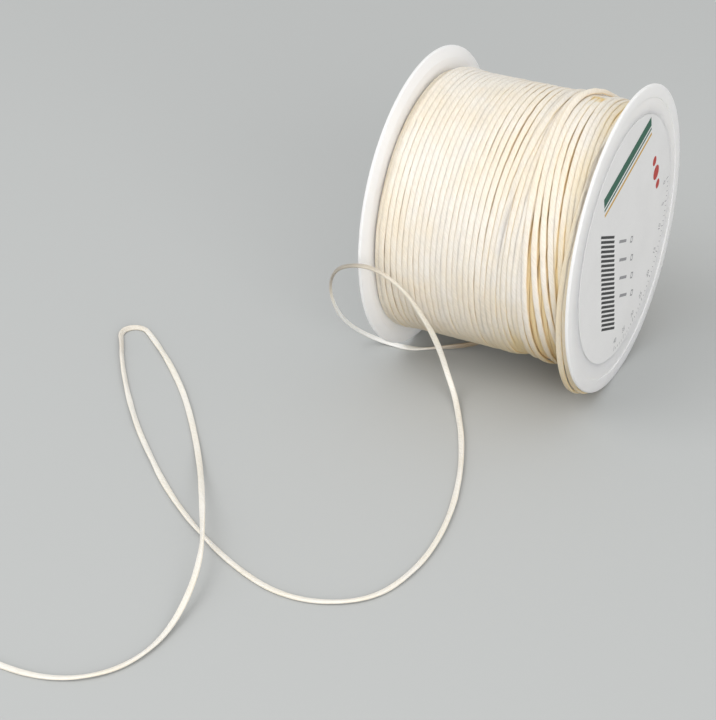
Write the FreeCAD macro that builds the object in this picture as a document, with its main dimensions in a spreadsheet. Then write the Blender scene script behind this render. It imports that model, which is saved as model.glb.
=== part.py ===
"""Cord spool: two moulded flanges on a tube, wound with cord whose free end lies on the floor.

Millimetres. The spool's axis runs along X, towards the labelled front flange. +Z is up, and the
origin is on the floor below the middle of the spool, which stands on the rims of its flanges.
"""
import FreeCAD, Part
import math
import os

import Sketcher

Vector = FreeCAD.Vector

DIMENSIONS = {
    # Flanges: one moulding, used at both ends
    "flange_radius": 45.0,
    "flange_thickness": 1.7,
    "winding_width": 60.0,       # clear width between the flanges' inner faces
    "bead_width": 3.9,           # raised rim bead, measured along the radius
    "face_recess": 0.3,          # how far the web's outer face lies below the bead
    "rim_thickness": 0.9,        # thickness left at the rim's edge
    "rim_slope": 3.4,            # width of the slope that thins the rim, along the radius
    "rim_rounding": 0.35,
    "bead_rounding": 0.2,
    "bore_radius": 8.0,
    "collar_wall": 2.0,
    "ring_wall": 1.6,
    "hub_depth": 8.0,            # length of the collar and the locating ring
    "ring_lead": 0.5,            # chamfer that leads the ring into the tube
    "rib_thickness": 1.2,
    "rib_height": 4.0,
    "rib_root": 0.8,             # how far a rib runs into the walls that it joins
    "rib_count": 6,
    # Core tube
    "core_radius": 22.0,
    "core_wall": 2.0,
    "core_fit": 0.1,             # gap between the tube's bore and the locating ring
    "seat_clearance": 0.05,      # gap at each end of the tube
    # Tape over the cord's first end
    "tape_thickness": 0.2,
    "tape_width": 14.0,
    "tape_angle": 50.0,
    "tape_gap": 0.05,
    "tape_side_angle": 2.0,
    # Winding
    "inner_winding_radius": 37.4,
    "winding_side_gap": 0.1,
    "cord_radius": 0.9,
    "layer_bite": 0.1,           # how deep an outer turn beds into the layer below
    "rear_pitch": 2.36,
    "front_pitch": 2.52,         # mean pitch: the turns spread towards the front flange
    "last_pitch": 2.36,          # pitch of the turn that the cord leaves from
    "rear_margin": 1.1,          # rear flange to the centre of the first turn
    "front_margin": 1.6,         # front flange to the centre of the loose turn
    "exit_place": -5.0,          # along the axis, where the cord leaves the winding
    "exit_spacing": 2.6,         # least spacing between the rear turns and the leaving turn
    "exit_angle": -20.0,         # from the bottom of the spool, towards its front side
    "dive_radius": 2.7,          # bend where a hidden end turns into the winding
    "loose_sag": 7.0,            # how far the loose turn hangs out of round
    # Label
    "label_radius": 36.4,
    "label_thickness": 0.12,
}

# Route of the free end after it leaves the winding, chosen by hand along the photographed cord
FREE_ROUTE = [
    (-5.07, 6.68, 6.78), (-6.0, 0.3, 4.8), (-10.5, -6.3, 2.4), (-19.0, -11.8, 0.9),
    (-28.5, -15.8, 0.9), (-35.3, -16.6, 0.9), (-40.2, -16.8, 1.9), (-43.3, -19.5, 4.7),
    (-45.0, -24.4, 9.5), (-45.0, -31.0, 16.2), (-43.5, -37.8, 24.0), (-41.6, -43.2, 31.7),
    (-39.2, -46.7, 37.8), (-36.1, -48.9, 42.8), (-31.3, -50.0, 46.0), (-25.8, -49.4, 46.2),
    (-21.5, -46.8, 42.8), (-18.6, -42.9, 36.2), (-16.2, -38.7, 28.2), (-13.7, -34.9, 20.0),
    (-11.5, -31.9, 12.4), (-8.8, -31.1, 6.2), (-5.2, -34.4, 2.3), (-1.2, -41.8, 0.9),
    (5.4, -54.0, 0.9), (12.8, -71.0, 0.9), (19.0, -92.0, 0.9), (19.7, -112.7, 0.9),
    (14.7, -131.2, 0.9), (-3.0, -140.5, 0.9), (-25.0, -132.7, 0.9), (-51.2, -116.6, 0.9),
    (-74.9, -94.3, 0.9), (-91.1, -76.9, 0.9), (-101.8, -63.2, 0.9), (-107.0, -56.1, 0.9),
    (-109.8, -51.0, 0.9), (-111.3, -46.8, 0.9), (-110.6, -43.0, 0.9), (-107.8, -41.2, 0.9),
    (-104.2, -42.4, 0.9), (-98.6, -47.2, 0.9), (-88.6, -57.0, 0.9), (-73.8, -72.8, 0.9),
    (-55.8, -94.6, 0.9), (-40.7, -118.7, 5.7), (-27.5, -141.5, 5.7), (-23.3, -163.8, 0.9),
    (-26.3, -180.7, 0.9), (-37.7, -191.2, 0.9), (-56.0, -193.5, 0.9), (-76.0, -190.0, 0.9),
]
ARC_SHARE = 0.45                 # share of the shorter run that each arc of the free cord takes
TURN = 2 * math.pi
QUARTER = TURN / 4
QUARTER_COUNT = 0.25             # the loose layer begins a quarter turn before the leaving angle
SMALL_ANGLE = 1e-4               # step for reading a turn's direction, in radians
TOLERANCE = 1e-6


def make_sheet(doc):
    """Write the driving dimensions to a spreadsheet, one alias each."""
    sheet = doc.addObject("Spreadsheet::Sheet", "Sizes")
    for row, (alias, value) in enumerate(DIMENSIONS.items(), start=1):
        sheet.set("A%d" % row, alias)
        sheet.set("B%d" % row, str(value))
        sheet.setAlias("B%d" % row, alias)
    doc.recompute()
    return sheet


def amount(sheet, terms):
    """Number that a sum of sheet sizes gives, such as "flange_radius - bead_width"."""
    total = 0.0
    sign = 1
    for word in terms.split():
        if word in ("+", "-"):
            sign = 1 if word == "+" else -1
        else:
            total += sign * sheet.get(word)
    return total


def bound(terms):
    """The same sum as an expression that a feature can be bound to."""
    return " ".join("Sizes." + word if word.isidentifier() else word for word in terms.split())


def origin_feature(body, role):
    """One of the body's own origin planes or axes."""
    return next(item for item in body.Origin.OriginFeatures if item.Role == role)


def outline_sketch(body, name, sheet, corners):
    """Closed outline on the body's XY plane, each corner tied to the sheet from the origin.

    A corner is a pair of sums, one along the spool's axis and one along its radius. An empty
    sum is zero, and puts the corner on the sketch's vertical axis.
    """
    sketch = body.newObject("Sketcher::SketchObject", name)
    sketch.AttachmentSupport = (origin_feature(body, "XY_Plane"), [""])
    sketch.MapMode = "FlatFace"
    places = [Vector(amount(sheet, along), amount(sheet, out), 0) for along, out in corners]
    for number, place in enumerate(places):
        after = places[(number + 1) % len(places)]
        sketch.addGeometry(Part.LineSegment(place, after), False)
    for number, (along, out) in enumerate(corners):
        before = (number - 1) % len(corners)
        sketch.addConstraint(Sketcher.Constraint("Coincident", before, 2, number, 1))
        if along:
            tie = sketch.addConstraint(
                Sketcher.Constraint("DistanceX", -1, 1, number, 1, places[number].x))
            sketch.setExpression("Constraints[%d]" % tie, bound(along))
        else:
            sketch.addConstraint(Sketcher.Constraint("PointOnObject", number, 1, -2))
        tie = sketch.addConstraint(
            Sketcher.Constraint("DistanceY", -1, 1, number, 1, places[number].y))
        sketch.setExpression("Constraints[%d]" % tie, bound(out))
    return sketch


def circles_at(feature, sheet, out, along):
    """Names of the feature's circular edges with the given radius and place on the axis."""
    radius = amount(sheet, out)
    place = amount(sheet, along)
    names = []
    for number, edge in enumerate(feature.Shape.Edges, start=1):
        if not isinstance(edge.Curve, Part.Circle):
            continue
        miss = max(abs(edge.Curve.Radius - radius), abs(edge.Curve.Center.x - place))
        if miss < TOLERANCE:
            names.append("Edge%d" % number)
    if not names:
        raise RuntimeError("no circle of radius %s at %s" % (out, along or "0"))
    return names


def make_flange(doc, sheet, label, face_sign):
    """Flange with a rim bead, a thinned edge, a bore collar, a ring for the tube, and ribs.

    The body's own X axis runs from the flange's outer face inwards. The front flange
    (face_sign 1) is the same moulding turned half round.
    """
    ring_out = "core_radius - core_wall - core_fit"
    tip = "flange_thickness + hub_depth"
    body = doc.addObject("PartDesign::Body", label.title().replace("_", ""))
    body.Label = label
    section = outline_sketch(body, label + "_section", sheet, [
        ("face_recess", "bore_radius"),
        ("face_recess", "flange_radius - bead_width"),
        ("", "flange_radius - bead_width"),
        ("", "flange_radius"),
        ("rim_thickness", "flange_radius"),
        ("flange_thickness", "flange_radius - rim_slope"),
        ("flange_thickness", ring_out),
        (tip, ring_out),
        (tip, ring_out + " - ring_wall"),
        ("flange_thickness", ring_out + " - ring_wall"),
        ("flange_thickness", "bore_radius + collar_wall"),
        (tip, "bore_radius + collar_wall"),
        (tip, "bore_radius"),
    ])
    turned = body.newObject("PartDesign::Revolution", label + "_turned")
    turned.Profile = section
    turned.ReferenceAxis = (section, ["H_Axis"])
    turned.Angle = 360
    section.Visibility = False

    rib_section = outline_sketch(body, label + "_rib_section", sheet, [
        ("flange_thickness - rib_root", "bore_radius + collar_wall - rib_root"),
        ("flange_thickness + rib_height", "bore_radius + collar_wall - rib_root"),
        ("flange_thickness + rib_height", ring_out + " - ring_wall + rib_root"),
        ("flange_thickness - rib_root", ring_out + " - ring_wall + rib_root"),
    ])
    rib = body.newObject("PartDesign::Pad", label + "_rib")
    rib.Profile = rib_section
    rib.SideType = "Symmetric"
    rib.setExpression("Length", bound("rib_thickness"))
    ribs = body.newObject("PartDesign::PolarPattern", label + "_ribs")
    ribs.Originals = [rib]
    ribs.Axis = (origin_feature(body, "X_Axis"), [""])
    ribs.Angle = 360
    ribs.setExpression("Occurrences", bound("rib_count"))
    body.Tip = ribs
    doc.recompute()

    rim = body.newObject("PartDesign::Fillet", label + "_rim")
    rim.Base = (ribs, circles_at(ribs, sheet, "flange_radius", "")
                + circles_at(ribs, sheet, "flange_radius", "rim_thickness"))
    rim.setExpression("Radius", bound("rim_rounding"))
    doc.recompute()
    bead = body.newObject("PartDesign::Fillet", label + "_bead")
    bead.Base = (rim, circles_at(rim, sheet, "flange_radius - bead_width", ""))
    bead.setExpression("Radius", bound("bead_rounding"))
    doc.recompute()
    lead = body.newObject("PartDesign::Chamfer", label + "_lead")
    lead.Base = (bead, circles_at(bead, sheet, ring_out, tip))
    lead.setExpression("Size", bound("ring_lead"))
    body.Tip = lead

    half_turn = 180 if face_sign > 0 else 0
    body.Placement = FreeCAD.Placement(Vector(), FreeCAD.Rotation(Vector(0, 0, 1), half_turn))
    body.setExpression("Placement.Base.x", "%d * (Sizes.winding_width / 2 + Sizes.flange_thickness)"
                       % face_sign)
    body.setExpression("Placement.Base.z", bound("flange_radius"))
    return body


def make_cylinder(doc, name, radius, length):
    """Cylinder from its own origin along its own Z axis, bound to the sheet."""
    cylinder = doc.addObject("Part::Cylinder", name)
    cylinder.setExpression("Radius", radius)
    cylinder.setExpression("Height", length)
    return cylinder


def make_cut(doc, label, base, tool):
    """Boolean difference that carries the sub-part's name."""
    cut = doc.addObject("Part::Cut", label.title().replace("_", ""))
    cut.Label = label
    cut.Base = base
    cut.Tool = tool
    return cut


def lay_on_axis(piece, start):
    """Turn a piece built along Z onto the spool's axis, beginning at the given place."""
    piece.Placement = FreeCAD.Placement(Vector(), FreeCAD.Rotation(Vector(0, 1, 0), 90))
    piece.setExpression("Placement.Base.x", start)
    piece.setExpression("Placement.Base.z", bound("flange_radius"))


def make_core_tube(doc):
    """Tube that joins the flanges. It fits over both locating rings."""
    length = "Sizes.winding_width - 2 * Sizes.seat_clearance"
    outside = make_cylinder(doc, "TubeOutside", bound("core_radius"), length)
    bore = make_cylinder(doc, "TubeBore", bound("core_radius - core_wall"), length)
    tube = make_cut(doc, "core_tube", outside, bore)
    lay_on_axis(tube, "-Sizes.winding_width / 2 + Sizes.seat_clearance")
    return tube


def make_start_tape(doc):
    """Curved strip of tape on the tube, over the cord's first end."""
    outside = make_cylinder(doc, "TapeOutside", bound("core_radius + tape_gap + tape_thickness"),
                            bound("tape_width"))
    outside.setExpression("Angle", bound("tape_angle"))
    inside = make_cylinder(doc, "TapeInside", bound("core_radius + tape_gap"), bound("tape_width"))
    tape = make_cut(doc, "start_tape", outside, inside)
    lay_on_axis(tape, "-Sizes.tape_width / 2")
    return tape


def make_inner_winding(doc):
    """The hidden layers as one plain ring on the tube, with room for the tape."""
    width = "Sizes.winding_width - 2 * Sizes.winding_side_gap"
    outside = make_cylinder(doc, "WindingOutside", bound("inner_winding_radius"), width)
    bore = make_cylinder(doc, "WindingBore", bound("core_radius + tape_gap"), width)
    room = make_cylinder(doc, "TapeRoom",
                         bound("core_radius + tape_gap + tape_thickness + tape_gap"),
                         "Sizes.tape_width + 2 * Sizes.tape_gap")
    room.setExpression("Angle", "Sizes.tape_angle + 2 * Sizes.tape_side_angle")
    room.setExpression("Placement.Base.z", "Sizes.winding_width / 2 - Sizes.winding_side_gap"
                       " - Sizes.tape_width / 2 - Sizes.tape_gap")
    room.setExpression("Placement.Rotation.Angle", "-Sizes.tape_side_angle")
    hollow = doc.addObject("Part::Fuse", "WindingHollow")
    hollow.Base = bore
    hollow.Tool = room
    winding = make_cut(doc, "inner_winding", outside, hollow)
    lay_on_axis(winding, "-Sizes.winding_width / 2 + Sizes.winding_side_gap")
    return winding


def make_front_label(doc):
    """Round paper label in the recess of the front flange's outer face."""
    label = make_cylinder(doc, "FrontLabel", bound("label_radius"), bound("label_thickness"))
    label.Label = "front_label"
    lay_on_axis(label, "Sizes.winding_width / 2 + Sizes.flange_thickness - Sizes.face_recess")
    return label


def biarc(start, start_way, end, end_way):
    """Two arcs that leave start along start_way and reach end along end_way."""
    span = end - start
    ways = start_way + end_way
    along = span.dot(ways)
    turn = 2 * (1 - start_way.dot(end_way))
    reach = (math.sqrt(along * along + turn * span.dot(span)) - along) / turn
    joint = (start + end + (start_way - end_way) * reach) / 2
    return [
        Part.Arc(start, arc_middle(start, start_way, joint), joint).toShape(),
        Part.Arc(joint, arc_middle(end, -end_way, joint), end).toShape(),
    ]


def arc_middle(start, way, end):
    """Middle point of the arc that leaves start along way and ends at end."""
    chord = end - start
    line = Vector(chord).normalize()
    side = (way - line * way.dot(line)).normalize()
    bulge = chord.Length / 2 * math.tan(way.getAngle(chord) / 2)
    return start + chord / 2 + side * bulge


def quarter_bend(corner, way_in, way_out, radius, at_end):
    """Quarter arc from way_in to way_out that starts at corner, or ends there."""
    start = corner - (way_in + way_out) * radius if at_end else corner
    centre = start + way_out * radius
    middle = centre + (way_in - way_out) * (radius / math.sqrt(2))
    return Part.Arc(start, middle, centre + way_in * radius).toShape()


class Turns:
    """A helix of turns about the spool's axis, given by place and radius at each angle.

    Angles run from the bottom of the spool up its front side, in radians. Places are relative
    to the spool's axis.
    """

    def __init__(self, place, radius, first, last):
        self.place = place
        self.radius = radius
        self.first = first
        self.last = last

    def point(self, angle):
        out = self.radius(angle)
        return Vector(self.place(angle), -out * math.sin(angle), -out * math.cos(angle))

    def way(self, angle):
        step = self.point(angle + SMALL_ANGLE) - self.point(angle - SMALL_ANGLE)
        return step.normalize()

    def outward(self, angle):
        """Direction away from the axis, square to the cord."""
        way = self.way(angle)
        out = Vector(0, -math.sin(angle), -math.cos(angle))
        return (out - way * out.dot(way)).normalize()

    def edges(self):
        """Two arcs for each quarter turn."""
        count = round((self.last - self.first) / QUARTER)
        arcs = []
        for step in range(count):
            start = self.first + step * QUARTER
            end = start + QUARTER
            arcs += biarc(self.point(start), self.way(start), self.point(end), self.way(end))
        return arcs

    def dive_in(self, radius, straight):
        """First end: out of the winding below, then round into the first turn."""
        way = self.way(self.first)
        out = self.outward(self.first)
        bend = quarter_bend(self.point(self.first), out, way, radius, at_end=True)
        foot = self.point(self.first) - (out + way) * radius
        return [Part.LineSegment(foot - out * straight, foot).toShape(), bend]

    def dive_out(self, radius, straight):
        """Last end: round and down into the winding below."""
        way = self.way(self.last)
        down = -self.outward(self.last)
        bend = quarter_bend(self.point(self.last), way, down, radius, at_end=False)
        foot = self.point(self.last) + (way + down) * radius
        return [bend, Part.LineSegment(foot, foot + down * straight).toShape()]


def cord_solid(edges, radius):
    """Round cord along joined edges, as one pipe shell closed at both ends."""
    first = edges[0]
    start = first.valueAt(first.FirstParameter)
    way = first.tangentAt(first.FirstParameter)
    ring = Part.Wire(Part.makeCircle(radius, start, way))
    shell = Part.BRepOffsetAPI.MakePipeShell(Part.Wire(edges))
    shell.add(ring)
    shell.build()
    shell.makeSolid()
    return shell.shape()


def sample(edges, spacing):
    """Points along joined edges, in order, with each point's distance from the start."""
    points = []
    run = 0.0
    for edge in edges:
        count = math.ceil(edge.Length / spacing)
        for number, place in enumerate(edge.discretize(count + 1)[:-1]):
            points.append((run + edge.Length * number / count, place))
        run += edge.Length
    return points


def least_gap(first, second, cord_radius, apart):
    """Least gap between two sampled cords, or between the turns of one.

    Points of one cord count only when they are more than `apart` from each other along it.
    """
    least = math.inf
    for run, place in first:
        for other_run, other in second:
            if first is second and other_run - run < apart:
                continue
            least = min(least, place.distanceToPoint(other))
    return least - 2 * cord_radius


def make_feature(doc, label, shape, height):
    """Feature that holds a shape built about the spool's axis, lifted to its height."""
    feature = doc.addObject("Part::Feature", label.title().replace("_", ""))
    feature.Label = label
    feature.Shape = shape
    feature.Placement = FreeCAD.Placement(Vector(0, 0, height), FreeCAD.Rotation())
    return feature


def make_outer_turns(doc, size):
    """Outer layer: tidy turns at the rear, spread turns with one that sags at the front.

    Returns the two features and the point where the cord leaves the winding.
    """
    cord = size("cord_radius")
    height = size("flange_radius")
    layer = size("inner_winding_radius") + cord - size("layer_bite")
    exit_place = size("exit_place")
    exit_angle = math.radians(size("exit_angle"))
    straight = 2 * cord

    rear_first = -size("winding_width") / 2 + size("rear_margin")
    rear_pitch = size("rear_pitch")
    rear_count = math.floor((exit_place - size("exit_spacing") - rear_first) / rear_pitch)
    rear = Turns(lambda angle: rear_first + rear_pitch * (angle - exit_angle) / TURN,
                 lambda angle: layer, exit_angle, exit_angle + rear_count * TURN)
    rear_edges = (rear.dive_in(size("dive_radius"), straight) + rear.edges()
                  + rear.dive_out(size("dive_radius"), straight))

    front_first = size("winding_width") / 2 - size("front_margin")
    front_span = front_first - exit_place
    front_count = round(front_span / size("front_pitch") - QUARTER_COUNT) + QUARTER_COUNT
    pitch_growth = 2 * (front_span / front_count - size("last_pitch"))
    hidden_angle = exit_angle - QUARTER
    sag_middle = exit_angle + QUARTER / 2

    def front_place(angle):
        done = (angle - hidden_angle) / TURN
        spread = pitch_growth * done * (1 - done / (2 * front_count))
        return front_first - size("last_pitch") * done - spread

    def front_radius(angle):
        away = angle - sag_middle
        if abs(away) >= QUARTER:
            return layer
        return layer + size("loose_sag") * math.cos(away) ** 2

    front = Turns(front_place, front_radius, hidden_angle, hidden_angle + front_count * TURN)
    way = front.way(front.last)
    leaving = front.point(front.last)
    front_edges = (front.dive_in(size("dive_radius"), straight) + front.edges()
                   + [Part.LineSegment(leaving, leaving + way * straight).toShape()])

    rear_samples = sample(rear_edges, 2 * cord)
    front_samples = sample(front_edges, 2 * cord)
    half_turn = math.pi * layer
    print("turns: rear %.2f, front %.2f, together %.2f"
          % (rear_count, front_count, rear_count + front_count))
    print("least gap of rear_turns to itself %.2f mm"
          % least_gap(rear_samples, rear_samples, cord, half_turn))
    print("least gap of front_turns to itself %.2f mm"
          % least_gap(front_samples, front_samples, cord, half_turn))
    print("least gap between rear_turns and front_turns %.2f mm"
          % least_gap(rear_samples, front_samples, cord, 0))
    lowest = min(place.z for _, place in front_samples) + height - cord
    print("lowest point of the loose turn %.2f mm above the floor" % lowest)

    features = []
    for label, edges in (("rear_turns", rear_edges), ("front_turns", front_edges)):
        solid = cord_solid(edges, cord)
        print_volume(label, solid, edges, cord)
        features.append(make_feature(doc, label, solid, height))
    return features, leaving + way * straight + Vector(0, 0, height)


def print_volume(label, solid, edges, radius):
    """Compare a cord's volume with its section times its length."""
    length = sum(edge.Length for edge in edges)
    expected = math.pi * radius ** 2 * length
    print("%s: length %.1f mm, volume %.4f of section times length"
          % (label, length, solid.Volume / expected))


def rounded_route(points):
    """Straight runs through the points, joined by arcs as large as the runs allow."""
    edges = []
    last = points[0]
    for number in range(1, len(points) - 1):
        before = points[number - 1] - points[number]
        after = points[number + 1] - points[number]
        trim = ARC_SHARE * min(before.Length, after.Length)
        half_turn = (math.pi - before.getAngle(after)) / 2
        radius = trim / math.tan(half_turn)
        start = points[number] + before.normalize() * trim
        end = points[number] + after.normalize() * trim
        to_middle = (before + after).normalize()
        middle = points[number] + to_middle * (radius / math.cos(half_turn) - radius)
        edges.append(Part.LineSegment(last, start).toShape())
        edges.append(Part.Arc(start, middle, end).toShape())
        print("route point %d: turn %.0f degrees, radius %.1f mm"
              % (number, math.degrees(2 * half_turn), radius))
        last = end
    edges.append(Part.LineSegment(last, points[-1]).toShape())
    return edges


def make_free_cord(doc, size, exit_point):
    """Loose end of the cord, from the winding to where it is cut."""
    height = size("flange_radius")
    lift = Vector(0, 0, height)
    points = [exit_point - lift] + [Vector(*place) - lift for place in FREE_ROUTE]
    edges = rounded_route(points)
    solid = cord_solid(edges, size("cord_radius"))
    print_volume("free_cord", solid, edges, size("cord_radius"))
    return make_feature(doc, "free_cord", solid, height)


def check(doc, pieces):
    """Stop if any object failed to compute, or a sub-part has no valid single solid."""
    for item in doc.Objects:
        if "Invalid" in item.State or "Error" in item.State:
            raise RuntimeError("%s failed: %s" % (item.Name, item.State))
    for piece in pieces:
        shape = piece.Shape
        if shape.isNull() or not shape.isValid():
            raise RuntimeError("%s has no valid shape" % piece.Label)
        box = shape.BoundBox
        print("%-14s solids %d volume %9.1f  x %7.2f %7.2f  y %7.2f %7.2f  z %6.2f %6.2f"
              % (piece.Label, len(shape.Solids), shape.Volume, box.XMin, box.XMax,
                 box.YMin, box.YMax, box.ZMin, box.ZMax))


def main():
    doc = FreeCAD.newDocument("CordSpool")
    sheet = make_sheet(doc)
    pieces = [
        make_flange(doc, sheet, "rear_flange", -1),
        make_flange(doc, sheet, "front_flange", 1),
        make_core_tube(doc),
        make_start_tape(doc),
        make_inner_winding(doc),
        make_front_label(doc),
    ]
    turns, exit_point = make_outer_turns(doc, sheet.get)
    pieces += turns
    pieces.append(make_free_cord(doc, sheet.get, exit_point))
    doc.recompute()
    check(doc, pieces)
    os.makedirs("parts", exist_ok=True)
    for piece in pieces:
        piece.Shape.exportStep("parts/%s.step" % piece.Label)


main()
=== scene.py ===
"""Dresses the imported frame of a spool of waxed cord: the wound and the loose cord, the printed
label, the moulded flanges and a plain studio around them."""

import logging
import math
import random
from dataclasses import dataclass, field
from enum import Enum

import bpy
import numpy as np
from mathutils import Matrix, Vector


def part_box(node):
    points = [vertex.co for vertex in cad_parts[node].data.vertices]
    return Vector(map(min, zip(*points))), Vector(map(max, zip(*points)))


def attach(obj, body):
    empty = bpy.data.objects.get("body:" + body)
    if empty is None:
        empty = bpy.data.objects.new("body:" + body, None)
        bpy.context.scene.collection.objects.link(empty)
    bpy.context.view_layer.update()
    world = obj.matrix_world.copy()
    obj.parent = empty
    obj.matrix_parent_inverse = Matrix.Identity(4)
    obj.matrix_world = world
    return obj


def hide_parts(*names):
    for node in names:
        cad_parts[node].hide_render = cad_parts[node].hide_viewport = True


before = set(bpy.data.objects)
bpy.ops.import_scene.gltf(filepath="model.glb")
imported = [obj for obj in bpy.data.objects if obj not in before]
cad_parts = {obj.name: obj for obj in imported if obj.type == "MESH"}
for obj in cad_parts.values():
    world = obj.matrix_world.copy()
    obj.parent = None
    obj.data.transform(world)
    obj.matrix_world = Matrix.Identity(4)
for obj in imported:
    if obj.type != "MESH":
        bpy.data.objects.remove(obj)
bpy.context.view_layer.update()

log = logging.getLogger("spool")

MM = 0.001
TURN = 2 * math.pi
# Nearly all of a noise's factor lies in this range.
NOISE_RANGE = (0.3, 0.7)

FLANGE_LOW, FLANGE_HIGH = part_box("front_flange")
DRUM_LOW, DRUM_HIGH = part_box("inner_winding")
AXIS_HEIGHT = (FLANGE_LOW.z + FLANGE_HIGH.z) / 2
DRUM_RADIUS = (DRUM_HIGH.z - DRUM_LOW.z) / 2
LABEL_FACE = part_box("front_label")[1].x


class Depth(Enum):
    """Whether painted shade deepens a cord's colour in its gaps and towards the spool's axis, as on
    the winding.
    """

    WOUND = "wound"
    FREE = "free"


# Node graphs


class Graph:
    """The node tree of a material or of the world, built one node at a time."""

    def __init__(self, owner: bpy.types.Material | bpy.types.World) -> None:
        """Empties the owner's node tree.

        Args:
            owner: A new material, or the world.
        """
        owner.use_nodes = True
        self.owner = owner
        self.tree = owner.node_tree
        self.tree.nodes.clear()

    def add(self, kind: str, inputs: dict | None = None, **settings: object) -> bpy.types.Node:
        """Adds a node.

        Args:
            kind: The node's type, without the leading "ShaderNode".
            inputs: Values or sockets for its inputs, by name or by index.
            settings: Attributes of the node itself.

        Returns:
            The new node.
        """
        node = self.tree.nodes.new("ShaderNode" + kind)
        for key, value in settings.items():
            setattr(node, key, value)
        for key, value in (inputs or {}).items():
            if isinstance(value, bpy.types.NodeSocket):
                self.tree.links.new(value, node.inputs[key])
            else:
                node.inputs[key].default_value = value
        return node

    def math(self, operation: str, *values: object) -> bpy.types.NodeSocket:
        """Returns the result of one Math node on numbers or sockets."""
        return self.add("Math", dict(enumerate(values)), operation=operation).outputs[0]

    def noise(self, vector: bpy.types.NodeSocket, scale: float, detail: float = 2.0,
              roughness: float = 0.5) -> bpy.types.NodeSocket:
        """Returns a noise texture's factor at that vector."""
        return self.add("TexNoise", {"Vector": vector, "Scale": scale, "Detail": detail,
                                     "Roughness": roughness}).outputs["Fac"]

    def spread(self, value: object, low: float, high: float, to_low: float = 0.0,
               to_high: float = 1.0) -> bpy.types.NodeSocket:
        """Returns the value, mapped smoothly from one range to another and held at its ends."""
        node = self.add("MapRange", {"Value": value, "From Min": low, "From Max": high,
                                     "To Min": to_low, "To Max": to_high},
                        interpolation_type="SMOOTHSTEP")
        return node.outputs["Result"]

    def mix(self, share: object, first: object, second: object,
            blend: str = "MIX") -> bpy.types.NodeSocket:
        """Mixes two colours.

        Args:
            share: How much of the second one shows, from 0 to 1.
            first: The first colour.
            second: The second colour.
            blend: How the second one is laid over the first.

        Returns:
            The mixed colour.
        """
        node = self.add("Mix", data_type="RGBA", blend_type=blend)
        for index, value in ((0, share), (6, first), (7, second)):
            if isinstance(value, bpy.types.NodeSocket):
                self.tree.links.new(value, node.inputs[index])
            elif index:
                node.inputs[index].default_value = (*value, 1.0)
            else:
                node.inputs[index].default_value = value
        return node.outputs[2]

    def shaded(self, colour: bpy.types.NodeSocket,
               shade: bpy.types.NodeSocket) -> bpy.types.NodeSocket:
        """Returns a colour, made darker or lighter by a factor."""
        grey = self.add("CombineColor", {0: shade, 1: shade, 2: shade}).outputs[0]
        return self.mix(1.0, colour, grey, "MULTIPLY")

    def bump(self, height: bpy.types.NodeSocket, strength: float,
             distance: float) -> bpy.types.NodeSocket:
        """Returns the normal that a height gives."""
        return self.add("Bump", {"Height": height, "Strength": strength,
                                 "Distance": distance}).outputs["Normal"]

    def object_place(self) -> bpy.types.NodeSocket:
        """Returns the point's place in the object's own coordinates, which are the spool's."""
        return self.add("TexCoord").outputs["Object"]

    def axis_distance(self) -> bpy.types.NodeSocket:
        """Measures the point's distance from the spool's axis.

        Returns:
            The distance, in metres.
        """
        place = self.add("SeparateXYZ", {0: self.object_place()}).outputs
        height = self.math("SUBTRACT", place["Z"], AXIS_HEIGHT)
        squares = self.math("ADD", self.math("MULTIPLY", place["Y"], place["Y"]),
                            self.math("MULTIPLY", height, height))
        return self.math("SQRT", squares)

    def looked_at(self) -> bpy.types.NodeSocket:
        """Finds the rays that show this surface, and not those that only light others with it.

        Returns:
            1 for what is seen straight on, in a reflection or through glass, and 0 otherwise.
        """
        rays = self.add("LightPath").outputs
        thrown = self.math("MAXIMUM", rays["Is Glossy Ray"], rays["Is Transmission Ray"])
        return self.math("MAXIMUM", rays["Is Camera Ray"], thrown)

    def finish(self, surface: dict) -> bpy.types.Material:
        """Ends the tree in one Principled shader with these inputs.

        Args:
            surface: Values or sockets of the shader, by input name.

        Returns:
            The finished material.
        """
        shader = self.add("BsdfPrincipled", surface)
        self.add("OutputMaterial", {"Surface": shader.outputs[0]})
        return self.owner


@dataclass(frozen=True)
class TonedLength:
    """A stretch of the loose cord with painted shade, which darkens it, or with a painted
    highlight,
    which makes it paler: its middle and half its length, how much of its tone shows, and the tone.
    The tone is full up to one share of the reach and gone beyond another."""

    middle: float
    reach: float
    share: float
    # The default tone is a painted shade.
    tone: tuple = (0.60, 0.55, 0.47)
    full: float = 0.6
    gone: float = 1.3

    def laid_over(self, graph: Graph, colour: bpy.types.NodeSocket,
                  length: bpy.types.NodeSocket) -> bpy.types.NodeSocket:
        """Lays the painted shade or highlight over the cord's colour.

        Args:
            graph: The material's nodes.
            colour: The cord's colour so far.
            length: The length of cord up to the point.

        Returns:
            The colour with the tone.
        """
        off = graph.math("ABSOLUTE", graph.math("SUBTRACT", length, self.middle))
        near = graph.spread(off, self.full * self.reach, self.gone * self.reach, self.share, 0.0)
        return graph.mix(near, colour, self.tone)


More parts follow.
